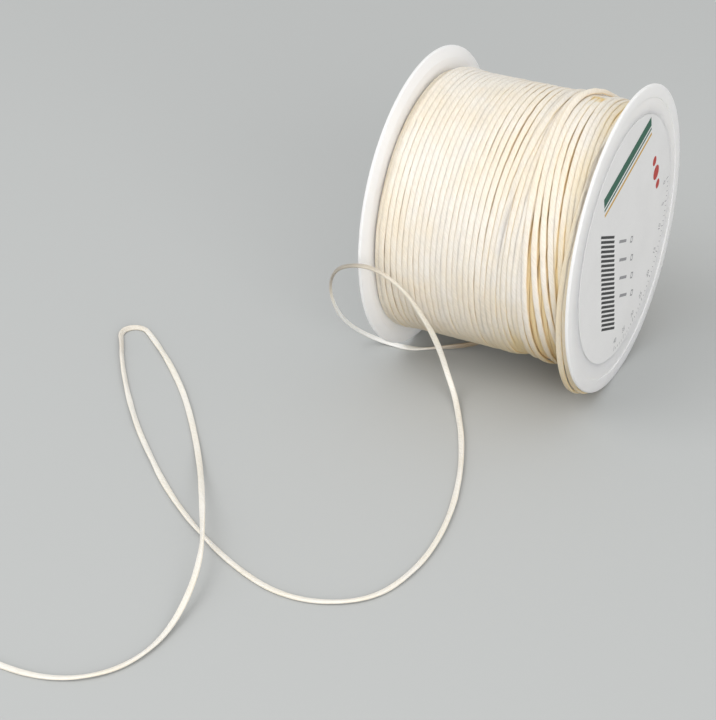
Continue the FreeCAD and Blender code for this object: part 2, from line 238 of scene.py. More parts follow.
@dataclass(frozen=True)
class CordFinish:
    """Flat waxed thread of ivory fibres: fine streaks that run along it with a slight twist, and
    paler and yellower lengths at random. Painted shade darkens its edges, and on the winding also
    its inner side, the buried turns, the low ones, those beside the front flange and the hollow
    below the crossing turn; set lengths of the loose cord carry painted shade or a painted
    highlight.

    A share says how much of a tone shows. Places lie along the spool's axis, radii count from
    it, and heights from the floor.
    """

    name: str
    depth: Depth
    ivory: tuple = (0.95, 0.862, 0.755)
    cream: tuple = (0.93, 0.805, 0.65)
    # Painted shade at the cord's two edges, where the gaps between turns lie: edge is its colour.
    edge: tuple = (0.87, 0.66, 0.36)
    edge_share: float = 0.45
    edge_sharpness: float = 5.0
    # Painted shade on the side that faces the spool's axis; inner is its colour.
    inner_side: tuple = (-0.5, 0.0)
    inner: tuple = (0.90, 0.68, 0.36)
    inner_share: float = 0.62
    # Painted shade on the turns below the outer layer, full within deep_radius and gone at
    # pale_radius.
    deep: tuple = (0.90, 0.64, 0.28)
    deep_share: float = 0.7
    deep_radius: float = DRUM_RADIUS + 0.9 * MM
    pale_radius: float = DRUM_RADIUS + 1.45 * MM
    # The painted shade in the gaps grows from faint among the neat turns to full among the loose
    # ones, and is stronger low down.
    pale_start: float = -1 * MM
    deep_start: float = 9 * MM
    neat_share: float = 0.2
    lined_share: float = 0.65
    lined_heights: tuple = (20 * MM, 48 * MM)
    # Painted shade low on the winding, yellower, and weaker towards the rear flange; low is its
    # colour.
    low: tuple = (0.62, 0.47, 0.20)
    low_share: float = 0.8
    low_heights: tuple = (9 * MM, 32 * MM)
    low_places: tuple = (-28 * MM, 14 * MM)
    low_rear_share: float = 0.42
    # Painted shade on the turns beside the front flange, weaker in the middle of the cord than at
    # its edges.
    end_tone: tuple = (0.84, 0.66, 0.38)
    end_share: float = 0.72
    end_middle_share: float = 0.5
    end_places: tuple = (23 * MM, 26 * MM)
    # Beyond this radius, on the turns that hang loose, the painted shade low down and beside the
    # front flange is weaker.
    wound_radius: float = DRUM_RADIUS + 3.0 * MM
    wound_fade: float = 2.0 * MM
    hanging_share: float = 0.65
    # Painted light along the loose cord: a painted shadow where it leaves the spool, a painted
    # highlight on the rising stretch, and painted shade on the arch's top and at a loop's far tip.
    toned_lengths: tuple = (TonedLength(8 * MM, 24 * MM, 0.95, (0.28, 0.21, 0.13)),
                            TonedLength(62 * MM, 24 * MM, 0.9, (1.0, 0.96, 0.88)),
                            TonedLength(108 * MM, 15 * MM, 0.75, (0.44, 0.40, 0.33)),
                            TonedLength(107 * MM, 8 * MM, 0.8, (0.36, 0.325, 0.27)),
                            TonedLength(436 * MM, 12 * MM, 0.5))
    # Painted shade in the hollow below the turn that crosses at the top, on the surface beneath it.
    hollow: tuple = (17.6 * MM, 6.0 * MM, AXIS_HEIGHT + 38.9 * MM)
    hollow_tone: tuple = (0.85, 0.56, 0.20)
    hollow_sizes: tuple = (1.47 * MM, 4.2 * MM)
    hollow_radius: float = DRUM_RADIUS + 2.0 * MM
    hollow_fade: float = 0.3 * MM
    twist: float = 9 * MM
    fibre_scale: float = 3.0
    fibre_length: float = 160.0
    fibre_height: float = 0.14 * MM
    fibre_strength: float = 0.6
    fibre_range: tuple = (0.3, 0.65)
    fibre_shades: tuple = (0.89, 1.02)
    tone_range: tuple = (0.38, 0.62)
    wave_scale: float = 45.0
    wave_share: float = 0.6
    yarn_scale: float = 90.0
    rough_range: tuple = (0.2, 0.8)
    roughness: tuple = (0.60, 0.46)
    glow: float = 0.65
    glow_radius: tuple = (1.0, 0.96, 0.9)
    glow_depth: float = 1.3 * MM

    def material(self) -> bpy.types.Material:
        """Builds the material.

        Returns:
            The finished material.
        """
        graph = Graph(bpy.data.materials.new(self.name))
        along = graph.add("SeparateXYZ", {0: graph.add("UVMap", uv_map="strand").outputs[0]})
        around, length = along.outputs["X"], along.outputs["Y"]
        section = graph.math("MULTIPLY", around, TURN)
        rim = graph.math("POWER", graph.math("ABSOLUTE", graph.math("COSINE", section)),
                         self.edge_sharpness)
        within = graph.spread(graph.math("SINE", section), *self.inner_side, 1.0, 0.0)
        fibres = self._fibres(graph, around, length)
        waves = graph.noise(graph.object_place(), self.wave_scale, 2.0)
        yarn = graph.noise(graph.add("CombineXYZ", {
            "X": graph.math("MULTIPLY", length, self.yarn_scale)}).outputs[0], 1.0, 3.0)
        tone = graph.spread(graph.math("ADD", graph.math("MULTIPLY", waves, self.wave_share),
                                       graph.math("MULTIPLY", yarn, 1.0 - self.wave_share)),
                            *self.tone_range)
        colour = graph.mix(tone, self.ivory, self.cream)
        shade = graph.spread(fibres, *self.fibre_range, *self.fibre_shades)
        colour = graph.shaded(colour, shade)
        # On the winding, painted shade in the gaps, the hollow, low down and beside the front
        # flange.
        if self.depth is Depth.WOUND:
            colour = self._deepened(graph, colour, rim, within)
        else:
            # Painted shade on the loose cord's edges.
            colour = graph.mix(graph.math("MULTIPLY", rim, self.edge_share), colour, self.edge)
            # Painted shade and painted highlights along set lengths of the loose cord.
            for toned in self.toned_lengths:
                colour = toned.laid_over(graph, colour, length)
        return graph.finish({
            "Base Color": colour,
            "Roughness": graph.spread(fibres, *self.rough_range, *self.roughness),
            "Specular IOR Level": 0.35,
            "Subsurface Weight": self.glow,
            "Subsurface Radius": self.glow_radius,
            "Subsurface Scale": self.glow_depth,
            "Sheen Weight": 0.1,
            "Sheen Roughness": 0.5,
            "Normal": graph.bump(fibres, self.fibre_strength, self.fibre_height)})

    def _fibres(self, graph: Graph, around: bpy.types.NodeSocket,
                length: bpy.types.NodeSocket) -> bpy.types.NodeSocket:
        """Draws the fibres out along the cord, with a slight twist.

        Args:
            graph: The material's nodes.
            around: The point's place round the section, as a share of a turn.
            length: The length of cord up to the point.

        Returns:
            The fibres' height and tone, from 0 to 1.
        """
        angle = graph.math("MULTIPLY", TURN, graph.math(
            "ADD", around, graph.math("DIVIDE", length, self.twist)))
        grain = graph.add("CombineXYZ", {
            "X": graph.math("COSINE", angle),
            "Y": graph.math("SINE", angle),
            "Z": graph.math("MULTIPLY", length, self.fibre_length)}).outputs[0]
        return graph.noise(grain, self.fibre_scale, 4.0, 0.65)

    def _deepened(self, graph: Graph, colour: bpy.types.NodeSocket, rim: bpy.types.NodeSocket,
                  within: bpy.types.NodeSocket) -> bpy.types.NodeSocket:
        """Lays painted shade over the wound cord's own colour.

        Args:
            graph: The material's nodes.
            colour: The cord's own colour.
            rim: 1 at the cord's two edges.
            within: 1 on the side that faces the spool's axis.

        Returns:
            The colour with painted shade: strong in the gaps among the loose turns, faint among
            the neat ones, strong in the hollow below the turn that crosses at the top, and yellower
            low down and beside the front flange.
        """
        place = graph.object_place()
        axes = graph.add("SeparateXYZ", {0: place}).outputs
        along = axes["X"]
        loose = graph.math(
            "MAXIMUM", graph.spread(along, self.pale_start, self.deep_start, self.neat_share, 1.0),
            graph.spread(axes["Z"], *self.lined_heights, self.lined_share, 0.0))
        reach = graph.axis_distance()
        wound = graph.spread(reach, self.wound_radius, self.wound_radius + self.wound_fade,
                             1.0, self.hanging_share)
        low = graph.math("MULTIPLY",
                         graph.spread(along, *self.low_places, self.low_rear_share, 1.0),
                         graph.spread(axes["Z"], *self.low_heights, self.low_share, 0.0))
        colour = graph.mix(graph.math("MULTIPLY", low, wound), colour, self.low)
        end = graph.math("MULTIPLY", graph.spread(along, *self.end_places, 0.0, self.end_share),
                         graph.spread(rim, 0.0, 1.0, self.end_middle_share, 1.0))
        colour = graph.mix(graph.math("MULTIPLY", end, wound), colour, self.end_tone)
        buried = graph.spread(reach, self.deep_radius, self.pale_radius, 1.0, 0.0)
        for mask, share, tone in ((rim, self.edge_share, self.edge),
                                  (within, self.inner_share, self.inner),
                                  (buried, self.deep_share, self.deep)):
            amount = graph.math("MULTIPLY", graph.math("MULTIPLY", mask, share), loose)
            colour = graph.mix(amount, colour, tone)
        off = graph.add("VectorMath", {0: place, 1: self.hollow},
                        operation="DISTANCE").outputs["Value"]
        near = graph.spread(off, *self.hollow_sizes, 1.0, 0.0)
        below = graph.spread(reach, self.hollow_radius - self.hollow_fade, self.hollow_radius,
                             1.0, 0.0)
        return graph.mix(graph.math("MULTIPLY", near, below), colour, self.hollow_tone)


@dataclass(frozen=True)
class MouldedFinish:
    """White moulded plastic with a satin skin: a fine orange peel, faint clouding, and light
    rubbing on the rim."""

    name: str
    white: tuple = (0.90, 0.90, 0.885)
    cloud: tuple = (0.875, 0.875, 0.865)
    scuff: tuple = (0.70, 0.69, 0.67)
    rim_radius: float = AXIS_HEIGHT - 1.1 * MM
    rubbing: float = 0.35
    cloud_scale: float = 60.0
    peel_scale: float = 2600.0
    peel_height: float = 0.05 * MM
    peel_strength: float = 0.12
    mark_scale: float = 900.0
    mark_stretch: tuple = (1.0, 1.0, 4.0)
    mark_range: tuple = (0.56, 0.7)
    roughness: tuple = (0.36, 0.44)
    rubbed_roughness: float = 0.2
    glow_radius: tuple = (1.0, 1.0, 0.95)
    glow_depth: float = 3.5 * MM

    def material(self) -> bpy.types.Material:
        """Builds the material.

        Returns:
            The finished material.
        """
        graph = Graph(bpy.data.materials.new(self.name))
        place = graph.object_place()
        clouds = graph.noise(place, self.cloud_scale, 3.0)
        peel = graph.noise(place, self.peel_scale, 2.0)
        drawn_out = graph.add("Mapping", {"Vector": place, "Scale": self.mark_stretch},
                              vector_type="TEXTURE").outputs[0]
        marks = graph.noise(drawn_out, self.mark_scale, 4.0, 0.7)
        rim = graph.spread(graph.axis_distance(), self.rim_radius, AXIS_HEIGHT)
        rubbed = graph.math("MULTIPLY", rim, graph.spread(marks, *self.mark_range))
        colour = graph.mix(graph.spread(clouds, *NOISE_RANGE), self.white, self.cloud)
        colour = graph.mix(graph.math("MULTIPLY", rubbed, self.rubbing), colour, self.scuff)
        return graph.finish({
            "Base Color": colour,
            "Roughness": graph.math("ADD", graph.spread(clouds, *NOISE_RANGE, *self.roughness),
                                    graph.math("MULTIPLY", rubbed, self.rubbed_roughness)),
            "Specular IOR Level": 0.45,
            "Subsurface Weight": 1.0,
            "Subsurface Radius": self.glow_radius,
            "Subsurface Scale": self.glow_depth,
            "Normal": graph.bump(peel, self.peel_strength, self.peel_height)})


@dataclass(frozen=True)
class PaperFinish:
    """Smooth white label paper: faint fibres and a slightly grey, uneven tone."""

    name: str
    sheet: tuple = (0.885, 0.88, 0.87)
    fleck: tuple = (0.855, 0.85, 0.84)
    pulp_scale: float = 1500.0
    pulp_height: float = 0.03 * MM
    pulp_strength: float = 0.15
    pulp_shades: tuple = (0.985, 1.01)
    tone_scale: float = 70.0
    roughness: tuple = (0.48, 0.56)

    def material(self) -> bpy.types.Material:
        """Builds the material.

        Returns:
            The finished material.
        """
        graph = Graph(bpy.data.materials.new(self.name))
        place = graph.object_place()
        pulp = graph.noise(place, self.pulp_scale, 5.0, 0.6)
        tone = graph.spread(graph.noise(place, self.tone_scale, 3.0), *NOISE_RANGE)
        colour = graph.mix(tone, self.sheet, self.fleck)
        colour = graph.shaded(colour, graph.spread(pulp, *NOISE_RANGE, *self.pulp_shades))
        return graph.finish({
            "Base Color": colour,
            "Roughness": graph.spread(pulp, *NOISE_RANGE, *self.roughness),
            "Specular IOR Level": 0.4,
            "Normal": graph.bump(pulp, self.pulp_strength, self.pulp_height)})


@dataclass(frozen=True)
class InkFinish:
    """Printing ink on the label, a little thinner in places so that the paper shows."""

    name: str
    ink: tuple
    thin: tuple
    cover_scale: float = 2400.0
    cover_range: tuple = (0.45, 0.85)
    roughness: tuple = (0.42, 0.55)

    def material(self) -> bpy.types.Material:
        """Builds the material.

        Returns:
            The finished material.
        """
        graph = Graph(bpy.data.materials.new(self.name))
        cover = graph.noise(graph.object_place(), self.cover_scale, 3.0, 0.6)
        return graph.finish({
            "Base Color": graph.mix(graph.spread(cover, *self.cover_range), self.ink, self.thin),
            "Roughness": graph.spread(cover, *NOISE_RANGE, *self.roughness),
            "Specular IOR Level": 0.4})


@dataclass(frozen=True)
class BoardFinish:
    """Brown board, wound in a spiral: a seam every few millimetres, fibres and flecks."""

    name: str
    brown: tuple = (0.46, 0.33, 0.20)
    light: tuple = (0.58, 0.45, 0.30)
    seam: tuple = (0.22, 0.15, 0.09)
    seam_share: float = 0.6
    seam_scale: float = 95.0
    seam_edges: tuple = (0.47, 0.5)
    fibre_scale: float = 700.0
    fibre_range: tuple = (0.35, 0.7)
    fibre_height: float = 0.1 * MM
    fibre_strength: float = 0.4
    roughness: tuple = (0.85, 0.7)

    def material(self) -> bpy.types.Material:
        """Builds the material.

        Returns:
            The finished material.
        """
        graph = Graph(bpy.data.materials.new(self.name))
        place = graph.add("SeparateXYZ", {0: graph.object_place()}).outputs
        height = graph.math("SUBTRACT", place["Z"], AXIS_HEIGHT)
        around = graph.math("DIVIDE", graph.math("ARCTAN2", place["Y"], height), TURN)
        along = graph.math("MULTIPLY", place["X"], self.seam_scale)
        seam = graph.math("FRACT", graph.math("ADD", along, around))
        edge = graph.spread(graph.math("ABSOLUTE", graph.math("SUBTRACT", seam, 0.5)),
                            *self.seam_edges)
        fibres = graph.noise(graph.object_place(), self.fibre_scale, 5.0, 0.7)
        colour = graph.mix(graph.spread(fibres, *self.fibre_range), self.brown, self.light)
        colour = graph.mix(graph.math("MULTIPLY", edge, self.seam_share), colour, self.seam)
        return graph.finish({
            "Base Color": colour,
            "Roughness": graph.spread(fibres, *NOISE_RANGE, *self.roughness),
            "Specular IOR Level": 0.25,
            "Normal": graph.bump(graph.math("SUBTRACT", fibres, edge), self.fibre_strength,
                                 self.fibre_height)})


@dataclass(frozen=True)
class CrepeFinish:
    """Creped masking tape: fine ridges across its length and a dry, even tan."""

    name: str
    tan: tuple = (0.70, 0.58, 0.34)
    pale: tuple = (0.78, 0.68, 0.46)
    stretch: tuple = (0.25, 1.0, 1.0)
    crease_scale: float = 1600.0
    crease_range: tuple = (0.35, 0.65)
    crease_height: float = 0.08 * MM
    crease_strength: float = 0.6
    roughness: tuple = (0.78, 0.6)

    def material(self) -> bpy.types.Material:
        """Builds the material.

        Returns:
            The finished material.
        """
        graph = Graph(bpy.data.materials.new(self.name))
        stretched = graph.add("Mapping", {"Vector": graph.object_place(),
                                          "Scale": self.stretch}).outputs[0]
        creases = graph.noise(stretched, self.crease_scale, 4.0, 0.6)
        return graph.finish({
            "Base Color": graph.mix(graph.spread(creases, *self.crease_range), self.tan,
                                    self.pale),
            "Roughness": graph.spread(creases, *NOISE_RANGE, *self.roughness),
            "Specular IOR Level": 0.3,
            "Normal": graph.bump(creases, self.crease_strength, self.crease_height)})


# Shared modelling steps


def deselect() -> None:
    """Leaves nothing selected, so that the next operator acts on its own piece alone."""
    if bpy.context.object is not None and bpy.context.object.mode != "OBJECT":
        bpy.ops.object.mode_set(mode="OBJECT")
    bpy.ops.object.select_all(action="DESELECT")


def take(*pieces: bpy.types.Object) -> None:
    """Selects these pieces alone and makes the first one active.

    Args:
        pieces: The pieces.
    """
    deselect()
    for piece in pieces:
        piece.select_set(True)
    bpy.context.view_layer.objects.active = pieces[0]


def put(name: str, data: bpy.types.ID) -> bpy.types.Object:
    """Puts new data into the scene.

    Args:
        name: The new object's name.
        data: Its mesh, lamp or camera.

    Returns:
        The new object.
    """
    piece = bpy.data.objects.new(name, data)
    bpy.context.scene.collection.objects.link(piece)
    return piece


def fit_out(piece: bpy.types.Object, material: bpy.types.Material,
            replaces: tuple[str, ...] = ()) -> bpy.types.Object:
    """Gives a new piece its material and its body, and hides the CAD nodes it stands for.

    Args:
        piece: The finished piece.
        material: Its material.
        replaces: CAD nodes that it stands for.

    Returns:
        The same piece.
    """
    piece.data.materials.clear()
    piece.data.materials.append(material)
    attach(piece, "root")
    if replaces:
        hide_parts(*replaces)
    log.info("%s: %d faces", piece.name, len(piece.data.polygons))
    return piece


def read_route(points: list[Vector], resolution: int) -> np.ndarray:
    """Reads the smooth line that follows a route.

    Args:
        points: The route's control points, in metres.
        resolution: How many points of the line lie between two control points.

    Returns:
        The points of the quadratic NURBS line with those control points.
    """
    curve = bpy.data.curves.new("route", "CURVE")
    curve.dimensions = "3D"
    curve.resolution_u = resolution
    spline = curve.splines.new("NURBS")
    spline.points.add(len(points) - 1)
    for point, place in zip(spline.points, points):
        point.co = (*place, 1.0)
    spline.order_u = 3
    spline.use_endpoint_u = True
    spline.resolution_u = resolution
    holder = bpy.data.objects.new("route", curve)
    mesh = bpy.data.meshes.new_from_object(holder)
    line = np.array([vertex.co for vertex in mesh.vertices])
    bpy.data.meshes.remove(mesh)
    bpy.data.objects.remove(holder)
    bpy.data.curves.remove(curve)
    return line


def lengths_along(line: np.ndarray) -> np.ndarray:
    """Returns the distance along a line to each of its points."""
    steps = np.linalg.norm(np.diff(line, axis=0), axis=1)
    return np.concatenate([[0.0], np.cumsum(steps)])


def evenly(line: np.ndarray, step: float) -> np.ndarray:
    """Spaces a line's points evenly.

    Args:
        line: The line's points.
        step: About how far apart they shall be.

    Returns:
        The new points, from the line's start to its end.
    """
    lengths = lengths_along(line)
    wanted = np.linspace(0.0, lengths[-1], round(lengths[-1] / step) + 1)
    return np.stack([np.interp(wanted, lengths, line[:, axis]) for axis in range(3)], axis=1)


def tangents_along(line: np.ndarray) -> np.ndarray:
    """Returns the unit direction in which a line runs at each of its points."""
    steps = np.gradient(line, axis=0)
    return steps / np.linalg.norm(steps, axis=1)[:, None]


def carried_side(line: np.ndarray, start: np.ndarray) -> np.ndarray:
    """Carries a direction along a line without turning it about the line.

    Args:
        line: The line's points.
        start: A direction across the line at its start.

    Returns:
        The unit direction across the line at each point.
    """
    across = np.empty_like(line)
    carried = start
    for index, tangent in enumerate(tangents_along(line)):
        carried = carried - tangent * (carried @ tangent)
        carried = carried / np.linalg.norm(carried)
        across[index] = carried
    return across


def drift(lengths: np.ndarray, every: float, amount: float, chance: random.Random) -> np.ndarray:
    """Makes a smooth random change along a cord.

    Args:
        lengths: The distance along the cord at each point.
        every: How far apart the changes are.
        amount: The largest change.
        chance: The source of random numbers.

    Returns:
        The change at each point.
    """
    place = (lengths - lengths[0]) / every
    low = np.floor(place).astype(int)
    values = np.array([chance.uniform(-amount, amount) for _ in range(low[-1] + 2)])
    share = place - low
    share = share * share * (3 - 2 * share)
    return values[low] * (1 - share) + values[low + 1] * share


def away_from_axis(line: np.ndarray) -> np.ndarray:
    """Finds the direction straight out from the spool's axis.

    Args:
        line: The line's points.

    Returns:
        The unit direction at each point.
    """
    out = line - np.array((0.0, 0.0, AXIS_HEIGHT))
    out[:, 0] = 0.0
    return out / np.linalg.norm(out, axis=1)[:, None]


@dataclass(frozen=True)
class FlatCord:
    """The cord itself: a flat waxed thread with full, rounded edges."""

    width: float = 1.74 * MM
    thickness: float = 0.82 * MM
    fullness: float = 3.0

    def section(self, sides: int) -> tuple[np.ndarray, np.ndarray]:
        """Draws the cord's section, between an ellipse and a rounded bar.

        Args:
            sides: How many corners it has.

        Returns:
            The corners' places across the cord, and out of its flat side.
        """
        turn = TURN * np.arange(sides) / sides
        power = 2 / self.fullness
        across = np.sign(np.cos(turn)) * np.abs(np.cos(turn)) ** power * self.width / 2
        out = np.sign(np.sin(turn)) * np.abs(np.sin(turn)) ** power * self.thickness / 2
        return across, out

    def reach_down(self, flat_side: np.ndarray, line: np.ndarray) -> np.ndarray:
        """Returns how far the section reaches below its middle at each point of the line."""
        across, out = self.directions(line, flat_side)
        return np.hypot(across[:, 2] * self.width / 2, out[:, 2] * self.thickness / 2)

    @staticmethod
    def directions(line: np.ndarray, flat_side: np.ndarray) -> tuple[np.ndarray, np.ndarray]:
        """Sets the section's directions square to the line.

        Args:
            line: The cord's centreline.
            flat_side: The direction that its flat side roughly faces at each point.

        Returns:
            The unit directions across the cord and out of its flat side.
        """
        tangents = tangents_along(line)
        across = np.cross(flat_side, tangents)
        across /= np.linalg.norm(across, axis=1)[:, None]
        return across, np.cross(tangents, across)

    def tube(self, name: str, line: np.ndarray, flat_side: np.ndarray, sides: int,
             start: float = 0.0, spread: np.ndarray | None = None) -> bpy.types.Object:
        """Lays the cord along a line as a closed mesh.

        Args:
            name: The new object's name.
            line: The cord's centreline.
            flat_side: The direction that its flat side faces at each point.
            sides: Corners of one section.
            start: Length of cord before the line's start.
            spread: The width at each point, as a share of the cord's own. It is thinner where
                it is wider. 1 if left out.

        Returns:
            The new object, smooth, with the UV map "strand": round the section, and along.
        """
        lengths = lengths_along(line) + start
        across, out = self.directions(line, flat_side)
        wide, high = self.section(sides)
        spread = np.ones(len(line)) if spread is None else spread
        rings = (line[:, None, :]
                 + (spread[:, None] * wide[None, :])[..., None] * across[:, None, :]
                 + ((2 - spread)[:, None] * high[None, :])[..., None] * out[:, None, :])
        count = len(line)
        corner = np.arange(count * sides).reshape(count, sides)
        after = np.roll(corner, -1, axis=1)
        quads = np.stack([corner[:-1], after[:-1], after[1:], corner[1:]], axis=-1)
        faces = quads.reshape(-1, 4).tolist()
        faces += [corner[0, ::-1].tolist(), corner[-1].tolist()]
        mesh = bpy.data.meshes.new(name)
        mesh.from_pydata(rings.reshape(-1, 3).tolist(), [], faces)
        mesh.polygons.foreach_set("use_smooth", [True] * len(mesh.polygons))
        self._map_strands(mesh, lengths, sides)
        return put(name, mesh)

    @staticmethod
    def _map_strands(mesh: bpy.types.Mesh, lengths: np.ndarray, sides: int) -> None:
        """Writes the UV map "strand" of a tube: the share of a turn, and the length.

        Args:
            mesh: The tube's mesh, its quads first and its two caps last.
            lengths: The length of cord up to each ring.
            sides: Corners of one ring.
        """
        count = len(lengths)
        shares = np.arange(sides) / sides
        low = np.broadcast_to(shares, (count - 1, sides))
        high = low + 1.0 / sides
        near = np.broadcast_to(lengths[:-1, None], low.shape)
        far = np.broadcast_to(lengths[1:, None], low.shape)
        quads = np.stack([low, near, high, near, high, far, low, far], axis=-1)
        caps = np.concatenate([
            np.stack([shares[::-1], np.full(sides, lengths[0])], axis=-1),
            np.stack([shares, np.full(sides, lengths[-1])], axis=-1)])
        layer = mesh.uv_layers.new(name="strand")
        layer.data.foreach_set("uv", np.concatenate([quads.ravel(), caps.ravel()])
                               .astype(np.float32))


CORD = FlatCord()


def on_drum(angle: float, place: float, radius: float) -> Vector:
    """Returns a point round the spool's axis.

    Args:
        angle: Degrees from the lowest point, up the side where the loose cord lies.
        place: Place along the axis, in metres.
        radius: Distance from the axis, in metres.

    Returns:
        The point.
    """
    turned = math.radians(angle)
    return Vector((place, -radius * math.sin(turned), AXIS_HEIGHT - radius * math.cos(turned)))


# The winding

LAYER_RADIUS = DRUM_RADIUS + 1.25 * MM
STEP_ANGLE = 20.0
# A smooth line passes inside the corners of its route by this share of their distance.
CORNER_SHARE = (3 + math.cos(math.radians(STEP_ANGLE))) / 4
FRONT_ANGLES = (50, 70, 90, 110, 130, 150, 170, 190)
# A neat turn's knots: low down, at mid-height and at the top, and its lean's share at each.
NEAT_ANGLES = (50.0, 105.0, 190.0)
NEAT_LEANS = (-0.4, 0.0, 0.6)


@dataclass(frozen=True)
class LooseTurn:
    """One turn of the loose part, as it runs up the front and over the top.

    places and lifts are millimetres at FRONT_ANGLES: the place along the axis, and how far the
    cord lies above the outer layer. behind holds (angle, place, lift) past the top, where the
    turn doesn't simply lean over to the next one.
    """

    places: tuple[float, ...]
    lifts: tuple[float, ...] = (0.0,) * len(FRONT_ANGLES)
    behind: tuple[tuple[float, float, float], ...] = ()

    def knots(self, turn: int) -> list[tuple[float, float, float]]:
        """Lists where the turn's line goes through.

        Args:
            turn: How many turns come before it.

        Returns:
            (angle, place, lift), with the angle counted on through all the turns.
        """
        front = list(zip(FRONT_ANGLES, self.places, self.lifts))
        return [(angle + 360.0 * turn, place, lift)
                for angle, place, lift in front + list(self.behind)]


@dataclass(frozen=True)
class NeatTurn:
    """One turn that lies close beside the next, in millimetres: its place at mid-height, how far
    it leans to the right on its way up, and its lifts low down and at the top."""

    place: float
    lean: float = 0.55
    low: float = 0.0
    top: float = 0.0

    def knots(self, turn: int) -> list[tuple[float, float, float]]:
        """Lists where the turn's line goes through.

        Args:
            turn: How many turns come before it.

        Returns:
            (angle, place, lift), with the angle counted on through all the turns.
        """
        lifts = (self.low, (self.low + self.top) / 3, self.top)
        return [(360.0 * turn + angle, self.place + share * self.lean, lift)
                for angle, share, lift in zip(NEAT_ANGLES, NEAT_LEANS, lifts)]


# From the rear flange to the right. Before them the cord rises out of the layer below, and past
# the last one it dives under the front turns: angles and places from the knot before.
REAR_START = [(-100.0, -29.1, -0.8), (-30.0, -29.0, 0.5)]
REAR_END = ((50.0, 0.4, -0.3), (100.0, 0.8, -0.8), (140.0, 1.1, -0.9))
REAR_TURNS = (
    NeatTurn(-28.2, 1.9, 0.3, -0.7), NeatTurn(-27.0, 1.7, 0.5, 0.4), NeatTurn(-25.2, 1.3, 0.2, 0.6),
    NeatTurn(-23.4, 1.0, 0.0, 0.5), NeatTurn(-21.65, 0.7, 0.0, 0.2), NeatTurn(-19.95, 0.6),
    NeatTurn(-18.25), NeatTurn(-16.5), NeatTurn(-14.8), NeatTurn(-13.05), NeatTurn(-11.3),
    NeatTurn(-9.65), NeatTurn(-8.05), NeatTurn(-6.35),
)

